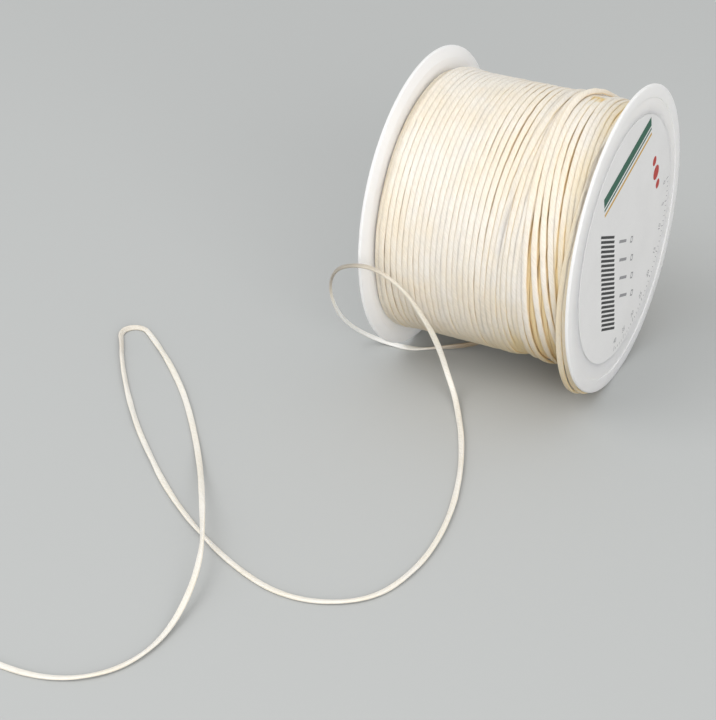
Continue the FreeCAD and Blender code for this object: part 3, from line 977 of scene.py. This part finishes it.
# From the front flange to the left: the turn against the flange, the one that hangs loose to
# the floor, the leaning turns that come out from under it, and the straighter ones.
LOOSE_START = [(-110.0, 28.9, -1.0), (-60.0, 28.8, -0.6), (-20.0, 28.7, 1.3), (0.0, 28.7, 5.4),
               (15.0, 28.7, 7.2), (25.0, 28.7, 7.6), (38.0, 28.8, 6.2)]
LOOSE_TURNS = (
    LooseTurn((28.9, 28.95, 28.95, 28.95, 28.95, 28.9, 28.8, 28.7),
              (4.4, 2.2, 1.0, 0.5, 0.2, -0.1, -0.4, -0.7),
              behind=((300, 28.2, -0.6), (340, 27.4, 1.3), (360, 26.9, 5.6), (375, 26.7, 7.4),
                      (385, 26.7, 7.9), (398, 26.8, 6.6))),
    LooseTurn((26.9, 27.1, 27.4, 27.8, 28.3, 28.4, 27.8, 27.2),
              (4.8, 2.4, 1.0, 0.5, 0.2, 0.0, -0.2, -0.6)),
    LooseTurn((28.6, 28.6, 28.6, 28.5, 28.2, 27.1, 26.0, 25.4),
              (-1.0, -1.0, -1.0, -0.8, -0.4, -0.1, 0.0, -0.4)),
    LooseTurn((28.5, 28.5, 28.5, 28.0, 26.9, 25.5, 24.4, 23.8),
              (-0.9, -0.9, -0.9, -0.6, -0.1, 0.1, 0.2, -0.1)),
    LooseTurn((28.4, 28.4, 28.2, 26.9, 25.3, 23.9, 22.8, 22.2),
              (-0.8, -0.8, -0.7, -0.3, 0.0, 0.2, 0.3, 0.2)),
    LooseTurn((21.3, 21.0, 19.5, 17.6, 16.25, 15.0, 13.9, 14.0),
              (0.0, 0.0, 0.0, 0.1, 0.4, 0.8, 1.25, 1.55),
              behind=((210, 16.9, 1.1), (230, 22.0, -0.2), (250, 25.0, -0.6), (280, 26.0, -0.6))),
    LooseTurn((28.0, 27.9, 27.3, 25.3, 23.7, 22.3, 21.2, 20.6),
              (-0.6, -0.5, -0.4, 0.0, 0.1, 0.2, 0.4, 0.3),
              behind=((205, 20.6, 0.1), (300, 24.0, -0.6))),
    LooseTurn((26.5, 26.0, 24.6, 23.2, 21.5, 20.0, 19.1, 18.9),
              (-0.7, -0.7, -0.6, -0.4, -0.1, 0.1, 0.3, 0.2),
              behind=((205, 19.0, -0.5), (230, 19.8, 0.3), (300, 23.5, -0.4))),
    LooseTurn((26.9, 26.7, 24.7, 22.4, 19.9, 17.9, 17.3, 17.3),
              (-0.3, -0.2, 0.0, 0.0, 0.1, 0.3, 0.45, 0.3),
              behind=((205, 17.6, -0.6), (230, 18.3, 0.3), (300, 22.0, -0.2))),
    LooseTurn((26.0, 24.8, 22.3, 20.1, 17.95, 16.3, 15.7, 15.7),
              (-0.3, -0.1, 0.0, 0.1, 0.4, 0.6, 0.6, 0.4),
              behind=((205, 15.9, -0.6), (230, 16.6, 0.3), (300, 19.0, 0.0), (370, 20.0, 0.5),
                      (390, 18.2, 0.5))),
    LooseTurn((17.0, 16.8, 16.3, 15.3, 14.25, 13.4, 12.75, 12.6),
              (0.2, 0.1, 0.2, 0.4, 0.7, 0.8, 0.8, 0.8)),
    LooseTurn((14.8, 14.8, 14.75, 14.8, 14.9, 15.0, 15.1, 15.2), (-0.3, -0.1) + (0.0,) * 6,
              behind=((350, 13.6, -0.4), (385, 13.0, -1.1))),
    LooseTurn((13.2, 13.25, 13.25, 13.25, 13.3, 13.5, 13.6, 13.6), (-0.8, -0.2) + (0.0,) * 6,
              behind=((350, 11.9, -0.4), (385, 11.4, -1.2))),
    LooseTurn((11.6, 11.65, 11.65, 11.7, 11.8, 11.9, 12.0, 12.1), (-0.9, -0.2) + (0.0,) * 6,
              behind=((350, 10.2, -0.2), (385, 9.7, -0.8))),
    LooseTurn((9.9, 9.95, 10.0, 10.05, 10.1, 10.2, 10.4, 10.5), (-0.5,) + (0.0,) * 7),
    LooseTurn((8.25, 8.3, 8.35, 8.4, 8.5, 8.6, 8.8, 9.0), (-0.1,) * 8),
    LooseTurn((6.5, 6.8, 7.2, 7.7, 8.4, 9.2, 10.1, 10.6),
              (0.1, 0.1, 0.1, 0.15, 0.3, 0.5, 0.6, 0.5)),
    LooseTurn((4.8, 5.1, 5.65, 6.05, 6.5, 7.0, 7.3, 7.5)),
    LooseTurn((3.2, 3.5, 3.95, 4.35, 4.65, 5.0, 5.3, 5.5)),
    LooseTurn((1.7, 1.9, 2.2, 2.45, 2.7, 2.95, 3.2, 3.4)),
)
FRONT_NEAT_TURNS = (NeatTurn(0.5, 1.5), NeatTurn(-1.25, 1.1), NeatTurn(-3.0, 0.8),
                    NeatTurn(-4.65, 0.5))
# Where the crossing turn rolls over to face the right: (angle, degrees of roll), with the angle
# counted on through the loose turns.
LOOSE_ROLLS = ((1940.0, 0.0), (1980.0, 45.0), (2015.0, 50.0), (2050.0, 0.0))


@dataclass
class Winding:
    """The cord on the spool: hidden layers, the neat turns at the rear and the loose ones.

    The under turns' pitch, places and lift and both wanders are in millimetres, and roll is in
    degrees. Each "every" is how far apart the cord's rolls and widths change.
    """

    finish: CordFinish = CordFinish("wound_cord", Depth.WOUND)
    seed: int = 11
    sides: int = 12
    ring_step: float = 0.7 * MM
    drum_steps: int = 120
    rib_height: float = 0.3 * MM
    rib_points: int = 4
    weld: float = 0.002 * MM
    under_sides: int = 8
    under_step: float = 1.4 * MM
    under_pitch: float = 1.75
    under_first: float = -29.2
    under_last: float = 29.2
    under_lift: float = -0.75
    under_wander: float = 0.1
    wander: float = 0.08
    roll: float = 10.0
    roll_every: tuple = (11 * MM, 3.5 * MM)
    swell: float = 1.03
    narrowing: float = 0.045
    narrowing_every: float = 9 * MM
    lumps: float = 0.075
    lumps_every: float = 2.4 * MM
    exit_point: Vector = field(default_factory=lambda: Vector(FREE_ROUTE[0]) * MM)

    def build(self) -> list[bpy.types.Object]:
        """Builds every piece of the winding.

        Returns:
            The new pieces.
        """
        material = self.finish.material()
        drum = fit_out(self._drum(), material, ("inner_winding",))
        under = fit_out(self._under_turns(), material)
        rear = fit_out(self._rear_turns(), material, ("rear_turns",))
        loose, front = self._front_turns()
        fit_out(loose, material, ("front_turns",))
        fit_out(front, material, ("front_turns",))
        return [drum, under, rear, loose, front]

    def _drum(self) -> bpy.types.Object:
        """Spins the hidden layers' ribbed outline round the axis, one rib for each turn.

        Returns:
            The new object.
        """
        ribs = round((DRUM_HIGH.x - DRUM_LOW.x) / (self.under_pitch * MM))
        count = self.rib_points * ribs + 1
        places = np.linspace(DRUM_LOW.x, DRUM_HIGH.x, count)
        waves = self.rib_height * np.abs(np.sin(np.linspace(0, math.pi * ribs, count)))
        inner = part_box("core_tube")[1].z - AXIS_HEIGHT
        low = DRUM_RADIUS - self.rib_height
        outline = [(place, low + wave) for place, wave in zip(places, waves)]
        outline = [(DRUM_LOW.x, inner)] + outline + [(DRUM_HIGH.x, inner)]
        mesh = bpy.data.meshes.new("inner_layers")
        mesh.from_pydata([(x, 0.0, AXIS_HEIGHT + r) for x, r in outline],
                         [(i, (i + 1) % len(outline)) for i in range(len(outline))], [])
        piece = put("inner_layers", mesh)
        take(piece)
        bpy.ops.object.mode_set(mode="EDIT")
        bpy.ops.mesh.select_all(action="SELECT")
        bpy.ops.mesh.spin(steps=self.drum_steps, angle=TURN, center=(0.0, 0.0, AXIS_HEIGHT),
                          axis=(1.0, 0.0, 0.0))
        bpy.ops.mesh.select_all(action="SELECT")
        bpy.ops.mesh.remove_doubles(threshold=self.weld)
        bpy.ops.mesh.normals_make_consistent(inside=False)
        bpy.ops.uv.smart_project()
        bpy.ops.object.mode_set(mode="OBJECT")
        piece.data.uv_layers[0].name = "strand"
        bpy.ops.object.shade_smooth()
        return piece

    def _line(self, knots: list[tuple[float, float, float]], wander: float) -> np.ndarray:
        """Reads the line of a run of turns.

        Args:
            knots: (angle, place, lift) in degrees and millimetres, the angle always growing.
            wander: How far the turns stray sideways, in millimetres.

        Returns:
            The points of the smooth line.
        """
        angles, places, lifts = (np.array(column) for column in zip(*knots))
        steps = round((angles[-1] - angles[0]) / STEP_ANGLE)
        wanted = np.linspace(angles[0], angles[-1], steps + 1)
        chance = random.Random(self.seed)
        route = []
        for angle in wanted:
            place = np.interp(angle, angles, places) + chance.uniform(-wander, wander)
            lift = np.interp(angle, angles, lifts) + chance.uniform(-wander, wander) / 2
            radius = (LAYER_RADIUS + lift * MM) / CORNER_SHARE
            route.append(on_drum(angle, place * MM, radius))
        return read_route(route, round(math.radians(STEP_ANGLE) * LAYER_RADIUS / self.ring_step))

    def _lay(self, name: str, line: np.ndarray, sides: int, start: float = 0.0,
             rolls: tuple[tuple[float, float], ...] = ((0.0, 0.0),)) -> bpy.types.Object:
        """Lays wound cord along a line, its flat side outwards, with small rolls and narrowings.

        Args:
            name: The new object's name.
            line: The centreline.
            sides: Corners of one section.
            start: Length of cord before the line's start.
            rolls: Larger rolls, as (angle, degrees), with the angle counted on from the start.

        Returns:
            The new object.
        """
        chance = random.Random(f"{self.seed} {name}")
        lengths = lengths_along(line)
        out = away_from_axis(line)
        angles = np.degrees(np.unwrap(np.arctan2(-line[:, 1], AXIS_HEIGHT - line[:, 2])))
        slow, quick = self.roll_every
        roll = np.radians(drift(lengths, slow, self.roll, chance)
                          + drift(lengths, quick, self.roll, chance)
                          + np.interp(angles, *zip(*rolls)))
        side = np.broadcast_to(np.array((1.0, 0.0, 0.0)), line.shape)
        flat_side = np.cos(roll)[:, None] * out + np.sin(roll)[:, None] * side
        spread = self.swell + (drift(lengths, self.narrowing_every, self.narrowing, chance)
                               + drift(lengths, self.lumps_every, self.lumps, chance))
        return CORD.tube(name, line, flat_side, sides, start, spread)

    def _under_turns(self) -> bpy.types.Object:
        """Lays the turns that show through the gaps of the outer layer.

        Returns:
            The new object.
        """
        turns = (self.under_last - self.under_first) / self.under_pitch
        knots = [(0.0, self.under_first, self.under_lift),
                 (360.0 * turns, self.under_last, self.under_lift)]
        line = evenly(self._line(knots, self.under_wander), self.under_step)
        return self._lay("under_turns", line, self.under_sides)

    def _rear_turns(self) -> bpy.types.Object:
        """Lays the neat turns, from the rear flange until they dive under the front ones.

        Returns:
            The new object.
        """
        knots = list(REAR_START)
        for turn, neat in enumerate(REAR_TURNS):
            knots += neat.knots(turn)
        angle, place, _ = knots[-1]
        knots += [(angle + on, place + across, lift) for on, across, lift in REAR_END]
        return self._lay("neat_turns", self._line(knots, self.wander), self.sides)

    def _front_turns(self) -> tuple[bpy.types.Object, bpy.types.Object]:
        """Lays the loose turns and the straighter ones beside them, up to the loose end.

        Returns:
            The loose turns near the front flange, and the rest.
        """
        knots = list(LOOSE_START)
        for turn, laid in enumerate(LOOSE_TURNS + FRONT_NEAT_TURNS):
            knots += laid.knots(turn)
        exit_angle = math.degrees(math.atan2(-self.exit_point.y, AXIS_HEIGHT - self.exit_point.z))
        exit_reach = math.hypot(self.exit_point.y, AXIS_HEIGHT - self.exit_point.z)
        last = exit_angle + 360.0 * (len(LOOSE_TURNS) + len(FRONT_NEAT_TURNS))
        knots.append((last, self.exit_point.x / MM, (exit_reach - LAYER_RADIUS) / MM))
        line = self._line(knots, self.wander)
        line[-1] = self.exit_point
        cut = len(line) // 2
        before = lengths_along(line[:cut + 1])[-1]
        return (self._lay("loose_turns", line[:cut + 1], self.sides, rolls=LOOSE_ROLLS),
                self._lay("front_neat_turns", line[cut:], self.sides, before))


# The loose end

FLOOR_LIFT = 0.45
# The route, in millimetres. Where it lies on the floor, it runs at FLOOR_LIFT.
FREE_ROUTE = [
    (-5.018, 11.374, 8.488), (-5.07, 6.68, 6.78), (-6.0, 0.3, 4.8), (-10.5, -6.3, 2.4),
    (-19.7, -10.4, 0.45), (-28.8, -15.1, 0.45), (-35.9, -15.0, 0.45), (-40.2, -16.7, 2.1),
    (-43.3, -19.4, 4.8), (-44.9, -24.3, 9.6), (-44.8, -30.8, 16.4), (-43.2, -37.6, 24.1),
    (-41.4, -43.1, 31.7), (-39.3, -46.7, 37.8), (-36.2, -48.9, 42.9), (-31.3, -50.1, 45.9),
    (-25.8, -49.3, 46.3), (-21.4, -46.7, 42.9), (-18.1, -42.3, 36.7), (-15.6, -38.0, 28.7),
    (-13.0, -34.3, 20.4), (-11.2, -31.7, 12.5), (-9.2, -31.4, 6.1), (-5.5, -34.6, 2.2),
    (-1.3, -41.0, 0.45), (5.4, -53.2, 0.45), (12.7, -70.4, 0.45), (18.6, -91.4, 0.45),
    (20.1, -112.6, 0.45), (14.8, -131.1, 0.45), (-3.5, -139.4, 0.45), (-25.3, -132.6, 0.45),
    (-51.5, -115.9, 0.45), (-75.3, -93.7, 0.45), (-85.9, -82.1, 0.45), (-94.4, -71.9, 0.45),
    (-103.1, -60.5, 0.45), (-108.5, -52.1, 0.45), (-112.5, -46.6, 0.45), (-111.4, -42.4, 0.45),
    (-107.3, -40.8, 0.45), (-103.1, -43.9, 0.45), (-99.2, -47.0, 0.45), (-88.6, -56.0, 0.45),
    (-73.8, -71.2, 0.45), (-56.2, -94.1, 0.45), (-40.7, -118.2, 5.4), (-27.3, -141.1, 5.4),
    (-23.2, -163.5, 0.45), (-26.3, -180.6, 0.45), (-37.8, -191.2, 0.45), (-56.4, -193.1, 0.45),
    (-76.4, -189.6, 0.45),
]

# How far the flat cord has rolled over, in degrees, at lengths in millimetres from the exit.
FREE_ROLLS = (
    (0, 82), (26, 70), (40, -12), (50, -14), (62, -16), (74, -28), (92, -26), (98, -36),
    (104, -54), (112, -68), (122, -76), (130, -84), (136, -74), (141, -48), (146, -36),
    (153, -18), (160, -8), (168, 8), (178, 18), (192, 27), (200, 35), (208, 34), (215, 22),
    (235, 20), (256, 15), (266, 2), (278, 10), (296, 6), (320, 15), (328, 35), (340, 18),
    (358, 3), (370, 22), (378, 8), (390, 28), (400, 18), (412, 45), (432, 50), (440, 30),
    (448, 0), (462, -15),
    (472, 8), (494, 10), (504, -18), (515, 0), (530, -25), (544, -18), (556, 35), (566, 52),
    (578, 12), (590, 8), (606, 25), (625, 18), (645, 0), (675, 0),
)


@dataclass
class FreeCord:
    """The loose end: out from under the winding, up in an arch, and in curves on the floor."""

    # Its edges get a faint painted shade.
    finish: CordFinish = CordFinish("free_cord_fibre", Depth.FREE, ivory=(0.96, 0.90, 0.81),
                                    cream=(0.935, 0.86, 0.74), edge_share=0.15)
    sides: int = 20
    ring_step: float = 0.4 * MM
    route_points: int = 40
    roll: float = 7.0
    roll_every: float = 7 * MM
    narrowing: float = 0.05
    narrowing_every: float = 6 * MM
    fray_length: float = 4 * MM
    fray_spread: float = 0.22
    seed: int = 5
    settle_start: float = 0.5 * MM
    settle_height: float = 3 * MM
    full_edges: float = 1.08

    def build(self) -> bpy.types.Object:
        """Returns:
            The new piece.
        """
        route = [Vector(point) * MM for point in FREE_ROUTE]
        line = evenly(read_route(route, self.route_points), self.ring_step)
        lengths = lengths_along(line)
        flat_side = self._flat_side(line, lengths)
        line = self._settled(line, flat_side)
        spread = self._spread(lengths)
        piece = CORD.tube("free_cord_tail", line, flat_side, self.sides, spread=spread)
        fit_out(piece, self.finish.material(), ("free_cord",))
        log.info("the loose end is %.0f mm long", lengths[-1] / MM)
        return piece

    def _flat_side(self, line: np.ndarray, lengths: np.ndarray) -> np.ndarray:
        """Rolls the flat side over along the cord, carried back from its far end.

        Args:
            line: The cord's centreline.
            lengths: The length of cord up to each point.

        Returns:
            The direction that the flat side faces at each point.
        """
        side = carried_side(line[::-1], np.array((0.0, 0.0, 1.0)))[::-1]
        across = np.cross(side, tangents_along(line))
        places, turns = zip(*FREE_ROLLS)
        small = drift(lengths, self.roll_every, self.roll, random.Random(self.seed))
        roll = np.radians(np.interp(lengths / MM, places, turns) + small)
        return np.cos(roll)[:, None] * side - np.sin(roll)[:, None] * across

    def _settled(self, line: np.ndarray, flat_side: np.ndarray) -> np.ndarray:
        """Lowers or raises the line's low stretches until the cord rests on the floor.

        Args:
            line: The cord's centreline.
            flat_side: The direction that its flat side faces at each point.

        Returns:
            The settled line.
        """
        down = self.full_edges * CORD.reach_down(flat_side, line)
        above = (line[:, 2] - self.settle_start) / self.settle_height
        settled = line.copy()
        settled[:, 2] += np.clip(1.0 - above, 0.0, 1.0) * (down - FLOOR_LIFT * MM)
        return settled

    def _spread(self, lengths: np.ndarray) -> np.ndarray:
        """Makes the cord's width a little uneven, and frays the cut end.

        Args:
            lengths: The length of cord up to each point.

        Returns:
            The width at each point, as a share of the cord's own.
        """
        chance = random.Random(self.seed + 1)
        spread = 1.0 + drift(lengths, self.narrowing_every, self.narrowing, chance)
        frayed = np.clip(1.0 - (lengths[-1] - lengths) / self.fray_length, 0.0, 1.0) ** 2
        return spread + self.fray_spread * frayed


# The printed label


@dataclass
class FrontPrint:
    """Plain print on the front label: a ruled band, three dots, a block of even stripes, four
    short rules with boxes, and a ring of ticks with numbers.

    Places are pairs in millimetres from the label's middle, to the right and up. A bar's size is
    its length and its width, and a slant is how far it rises, in degrees.
    """

    lift: float = 0.01 * MM
    ink_thickness: float = 0.015 * MM
    green: InkFinish = InkFinish("green_ink", (0.010, 0.105, 0.060), (0.03, 0.16, 0.10))
    ochre: InkFinish = InkFinish("ochre_ink", (0.62, 0.36, 0.06), (0.70, 0.46, 0.14))
    black: InkFinish = InkFinish("black_ink", (0.025, 0.025, 0.027), (0.07, 0.07, 0.07))
    grey: InkFinish = InkFinish("grey_ink", (0.30, 0.30, 0.31), (0.42, 0.42, 0.42))
    red: InkFinish = InkFinish("red_ink", (0.50, 0.035, 0.025), (0.58, 0.09, 0.06))
    band_slant: float = 16.0
    broad_rule: tuple = ((-3.6, 26.2), (37.0, 3.1))
    thin_rule: tuple = ((-2.9, 23.7), (37.0, 0.7))
    ochre_rule: tuple = ((-2.4, 21.9), (37.0, 0.9))
    dots: tuple = (((20.3, 16.2), 1.5), ((22.6, 11.6), 2.3), ((24.9, 7.0), 1.5))
    dot_corners: int = 40
    stripes: int = 21
    stripe_ends: tuple = ((-16.4, 8.6), (-10.3, -24.0))
    stripe_size: tuple = (12.4, 0.8)
    stripe_slant: float = -35.0
    rows: int = 4
    row_ends: tuple = ((-5.6, 2.0), (-1.6, -17.6))
    row_slant: float = -22.0
    row_rule: tuple = ((2.6, -0.9), (6.6, 0.9))
    row_box: tuple = (10.4, -4.0)
    box_size: float = 1.9
    box_line: float = 0.38
    ticks: int = 41
    numbered: int = 5
    first_tick: float = 8.0
    tick_step: float = 2.6
    short_tick: tuple = (34.9, 0.8)
    long_tick: tuple = (34.4, 1.7)
    tick_width: float = 0.22
    number_reach: float = 31.9
    number_height: float = 2.3

    def build(self) -> list[bpy.types.Object]:
        """Builds the print, one piece for each ink and motif.

        Returns:
            The new pieces.
        """
        return [
            self._print("band_print", [self._bar(*self.broad_rule, self.band_slant),
                                       self._bar(*self.thin_rule, self.band_slant)], self.green),
            self._print("hairline_print", [self._bar(*self.ochre_rule, self.band_slant)],
                        self.ochre),
            self._print("dots_print", [self._dot(*dot) for dot in self.dots], self.red),
            self._print("stripes_print", self._stripes(), self.black),
            self._print("rules_print", self._rules(), self.grey),
            self._print("scale_print", self._scale(), self.grey),
        ]

    @staticmethod
    def _bar(centre: tuple[float, float], size: tuple[float, float],
             slant: float) -> bpy.types.Object:
        """Draws a bar on the flat.

        Args:
            centre: Its middle.
            size: Its length and its width.
            slant: How far its length rises, in degrees.

        Returns:
            The new object.
        """
        deselect()
        bpy.ops.mesh.primitive_plane_add(size=1.0, location=(centre[0] * MM, centre[1] * MM, 0.0),
                                         rotation=(0.0, 0.0, math.radians(slant)))
        bar = bpy.context.object
        bar.scale = (size[0] * MM, size[1] * MM, 1.0)
        bpy.ops.object.transform_apply(location=False, rotation=True, scale=True)
        return bar

    def _dot(self, centre: tuple[float, float], radius: float) -> bpy.types.Object:
        """Draws a round dot on the flat.

        Args:
            centre: Its middle.
            radius: Its radius, in millimetres.

        Returns:
            The new object.
        """
        deselect()
        bpy.ops.mesh.primitive_circle_add(vertices=self.dot_corners, radius=radius * MM,
                                          fill_type="NGON",
                                          location=(centre[0] * MM, centre[1] * MM, 0.0))
        return bpy.context.object

    @staticmethod
    def _number(text: str, centre: tuple[float, float], height: float,
                slant: float) -> bpy.types.Object:
        """Draws a number on the flat.

        Args:
            text: The number.
            centre: Its middle.
            height: Its height, in millimetres.
            slant: How far it rises, in degrees.

        Returns:
            The new object.
        """
        deselect()
        bpy.ops.object.text_add(location=(centre[0] * MM, centre[1] * MM, 0.0),
                                rotation=(0.0, 0.0, math.radians(slant)))
        number = bpy.context.object
        number.data.body = text
        number.data.size = height * MM
        number.data.align_x = "CENTER"
        number.data.align_y = "CENTER"
        bpy.ops.object.convert(target="MESH")
        return number

    def _stripes(self) -> list[bpy.types.Object]:
        """Draws the block of even stripes.

        Returns:
            The stripes.
        """
        first, last = Vector(self.stripe_ends[0]), Vector(self.stripe_ends[1])
        rise = math.degrees(math.atan2(last.x - first.x, first.y - last.y))
        return [self._bar(tuple(first.lerp(last, row / (self.stripes - 1))), self.stripe_size,
                          rise + self.stripe_slant) for row in range(self.stripes)]

    def _rules(self) -> list[bpy.types.Object]:
        """Draws the short rules, each with a small open box at its end.

        Returns:
            The rules and the boxes.
        """
        first, last = Vector(self.row_ends[0]), Vector(self.row_ends[1])
        place, size = self.row_rule
        drawn = []
        for row in range(self.rows):
            left = first.lerp(last, row / (self.rows - 1))
            drawn.append(self._bar(tuple(left + Vector(place)), size, self.row_slant))
            drawn.append(self._box(tuple(left + Vector(self.row_box))))
        return drawn

    def _box(self, centre: tuple[float, float]) -> bpy.types.Object:
        """Draws a small open square: a flat one, inset, with its middle taken out.

        Args:
            centre: Its middle.

        Returns:
            The new object.
        """
        square = self._bar(centre, (self.box_size, self.box_size), self.row_slant)
        take(square)
        bpy.ops.object.mode_set(mode="EDIT")
        bpy.ops.mesh.select_all(action="SELECT")
        bpy.ops.mesh.inset(thickness=self.box_line * MM, depth=0.0)
        bpy.ops.mesh.delete(type="FACE")
        bpy.ops.object.mode_set(mode="OBJECT")
        return square

    def _scale(self) -> list[bpy.types.Object]:
        """Draws the ring of ticks, with a plain number at each longer one.

        Returns:
            The ticks and the numbers.
        """
        drawn = []
        for tick in range(self.ticks):
            slant = self.first_tick - self.tick_step * tick
            out = Vector((math.cos(math.radians(slant)), math.sin(math.radians(slant))))
            long = tick % self.numbered == 0
            reach, length = self.long_tick if long else self.short_tick
            drawn.append(self._bar(tuple(reach * out), (length, self.tick_width), slant))
            if long:
                drawn.append(self._number(str(tick), tuple(self.number_reach * out),
                                          self.number_height, slant + 90.0))
        return drawn

    def _print(self, name: str, drawn: list[bpy.types.Object], ink: InkFinish) -> bpy.types.Object:
        """Joins what was drawn, gives the ink its thickness and lays it on the label.

        Args:
            name: The piece's name.
            drawn: Flat objects in the drawing plane.
            ink: Its finish.

        Returns:
            The finished piece.
        """
        take(*drawn)
        if len(drawn) > 1:
            bpy.ops.object.join()
        piece = bpy.context.object
        piece.name = name
        bpy.ops.object.transform_apply(location=True, rotation=True, scale=True)
        solid = piece.modifiers.new("thickness", "SOLIDIFY")
        solid.thickness = self.ink_thickness
        solid.offset = 1.0
        bpy.ops.object.modifier_apply(modifier=solid.name)
        onto_label = Matrix(((0.0, 0.0, 1.0, LABEL_FACE + self.lift), (1.0, 0.0, 0.0, 0.0),
                             (0.0, 1.0, 0.0, AXIS_HEIGHT), (0.0, 0.0, 0.0, 1.0)))
        piece.data.transform(onto_label)
        return fit_out(piece, ink.material())


@dataclass
class CarriedNodes:
    """The pieces that stay as the frame has them, with finishes of their own."""

    plastic: MouldedFinish = MouldedFinish("moulded_white")
    paper: PaperFinish = PaperFinish("label_stock")
    board: BoardFinish = BoardFinish("spiral_board")
    tape: CrepeFinish = CrepeFinish("creped_tape")

    def dress(self) -> None:
        """Puts each finish on its nodes."""
        plastic = self.plastic.material()
        for node, material in (("rear_flange", plastic), ("front_flange", plastic),
                               ("core_tube", self.board.material()),
                               ("start_tape", self.tape.material()),
                               ("front_label", self.paper.material())):
            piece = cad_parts[node]
            piece.data.materials.clear()
            piece.data.materials.append(material)
            log.info("%s: %s", node, material.name)


@dataclass(frozen=True)
class Lamp:
    """A square soft lamp: its name, its place and side in metres, and its power in watts."""

    name: str
    place: tuple
    size: float
    power: float


@dataclass
class Studio:
    """Camera, lamps, floor and world. The eye's place is in millimetres."""

    eye: tuple = (190.94, -485.64, 313.27)
    right: tuple = (0.892649, 0.450753, 0.0)
    up: tuple = (-0.234786, 0.464959, 0.853633)
    lens: float = 100.0
    sensor: float = 36.0
    near: float = 0.01
    far: float = 50.0
    floor_size: float = 6.0
    floor_colour: tuple = (0.518, 0.531, 0.526)
    floor_fade: float = 0.99
    cloud_scale: float = 3.0
    bounce_colour: tuple = (0.24, 0.245, 0.245)
    shown_colour: tuple = (0.58, 0.595, 0.59)
    world_light: float = 0.74
    lamps: tuple = (Lamp("key", (-0.6, -0.8, 1.2), 0.9, 5.7),
                    Lamp("front right", (1.1, -1.3, 0.5), 1.2, 16.5),
                    Lamp("front left", (-0.9, -1.3, 0.4), 1.2, 2.8))

    def build(self) -> None:
        """Builds the whole studio."""
        bpy.context.scene.view_settings.view_transform = "Standard"
        bpy.context.scene.camera = self._camera()
        self._floor()
        self._world()
        for lamp in self.lamps:
            self._hang(lamp)

    def _camera(self) -> bpy.types.Object:
        """Makes the camera where the picture was taken from.

        Returns:
            The camera.
        """
        data = bpy.data.cameras.new("camera")
        data.lens = self.lens
        data.sensor_width = self.sensor
        data.clip_start = self.near
        data.clip_end = self.far
        camera = put("camera", data)
        right, up = Vector(self.right), Vector(self.up)
        turned = Matrix((right, up, right.cross(up))).transposed().to_4x4()
        camera.matrix_world = Matrix.Translation(Vector(self.eye) * MM) @ turned
        return camera

    @staticmethod
    def _hang(lamp: Lamp) -> None:
        """Hangs a lamp so that it points at the spool.

        Args:
            lamp: The lamp.
        """
        data = bpy.data.lights.new(lamp.name, "AREA")
        data.size = lamp.size
        data.energy = lamp.power
        hung = put(lamp.name, data)
        hung.location = lamp.place
        aim = Vector((0.0, 0.0, AXIS_HEIGHT)) - Vector(lamp.place)
        hung.rotation_euler = aim.to_track_quat("-Z", "Y").to_euler()

    def _floor(self) -> None:
        """Lays the floor."""
        deselect()
        bpy.ops.mesh.primitive_plane_add(size=self.floor_size, location=(0.0, 0.0, 0.0))
        floor = bpy.context.object
        floor.name = "floor"
        graph = Graph(bpy.data.materials.new("floor_paper"))
        tone = graph.noise(graph.object_place(), self.cloud_scale)
        darker = tuple(part * self.floor_fade for part in self.floor_colour)
        seen = graph.mix(tone, self.floor_colour, darker)
        floor.data.materials.append(graph.finish({
            "Base Color": graph.mix(graph.looked_at(), self.bounce_colour, seen),
            "Roughness": 0.9,
            "Specular IOR Level": 0.1}))

    def _world(self) -> None:
        """Makes an even dome of light that the camera and reflections see as pale grey."""
        world = bpy.data.worlds.new("dome")
        bpy.context.scene.world = world
        graph = Graph(world)
        light = graph.add("Background", {"Color": (1.0, 1.0, 1.0, 1.0),
                                         "Strength": self.world_light}).outputs[0]
        shown = graph.add("Background", {"Color": (*self.shown_colour, 1.0)}).outputs[0]
        mixed = graph.add("MixShader", {0: graph.looked_at(), 1: light, 2: shown}).outputs[0]
        graph.add("OutputWorld", {0: mixed})


def main() -> None:
    """Builds the studio and dresses the spool, the cords first."""
    logging.basicConfig(level=logging.INFO, format="%(name)s: %(message)s")
    Studio().build()
    FreeCord().build()
    Winding().build()
    FrontPrint().build()
    CarriedNodes().dress()


if __name__ == "__main__":
    main()
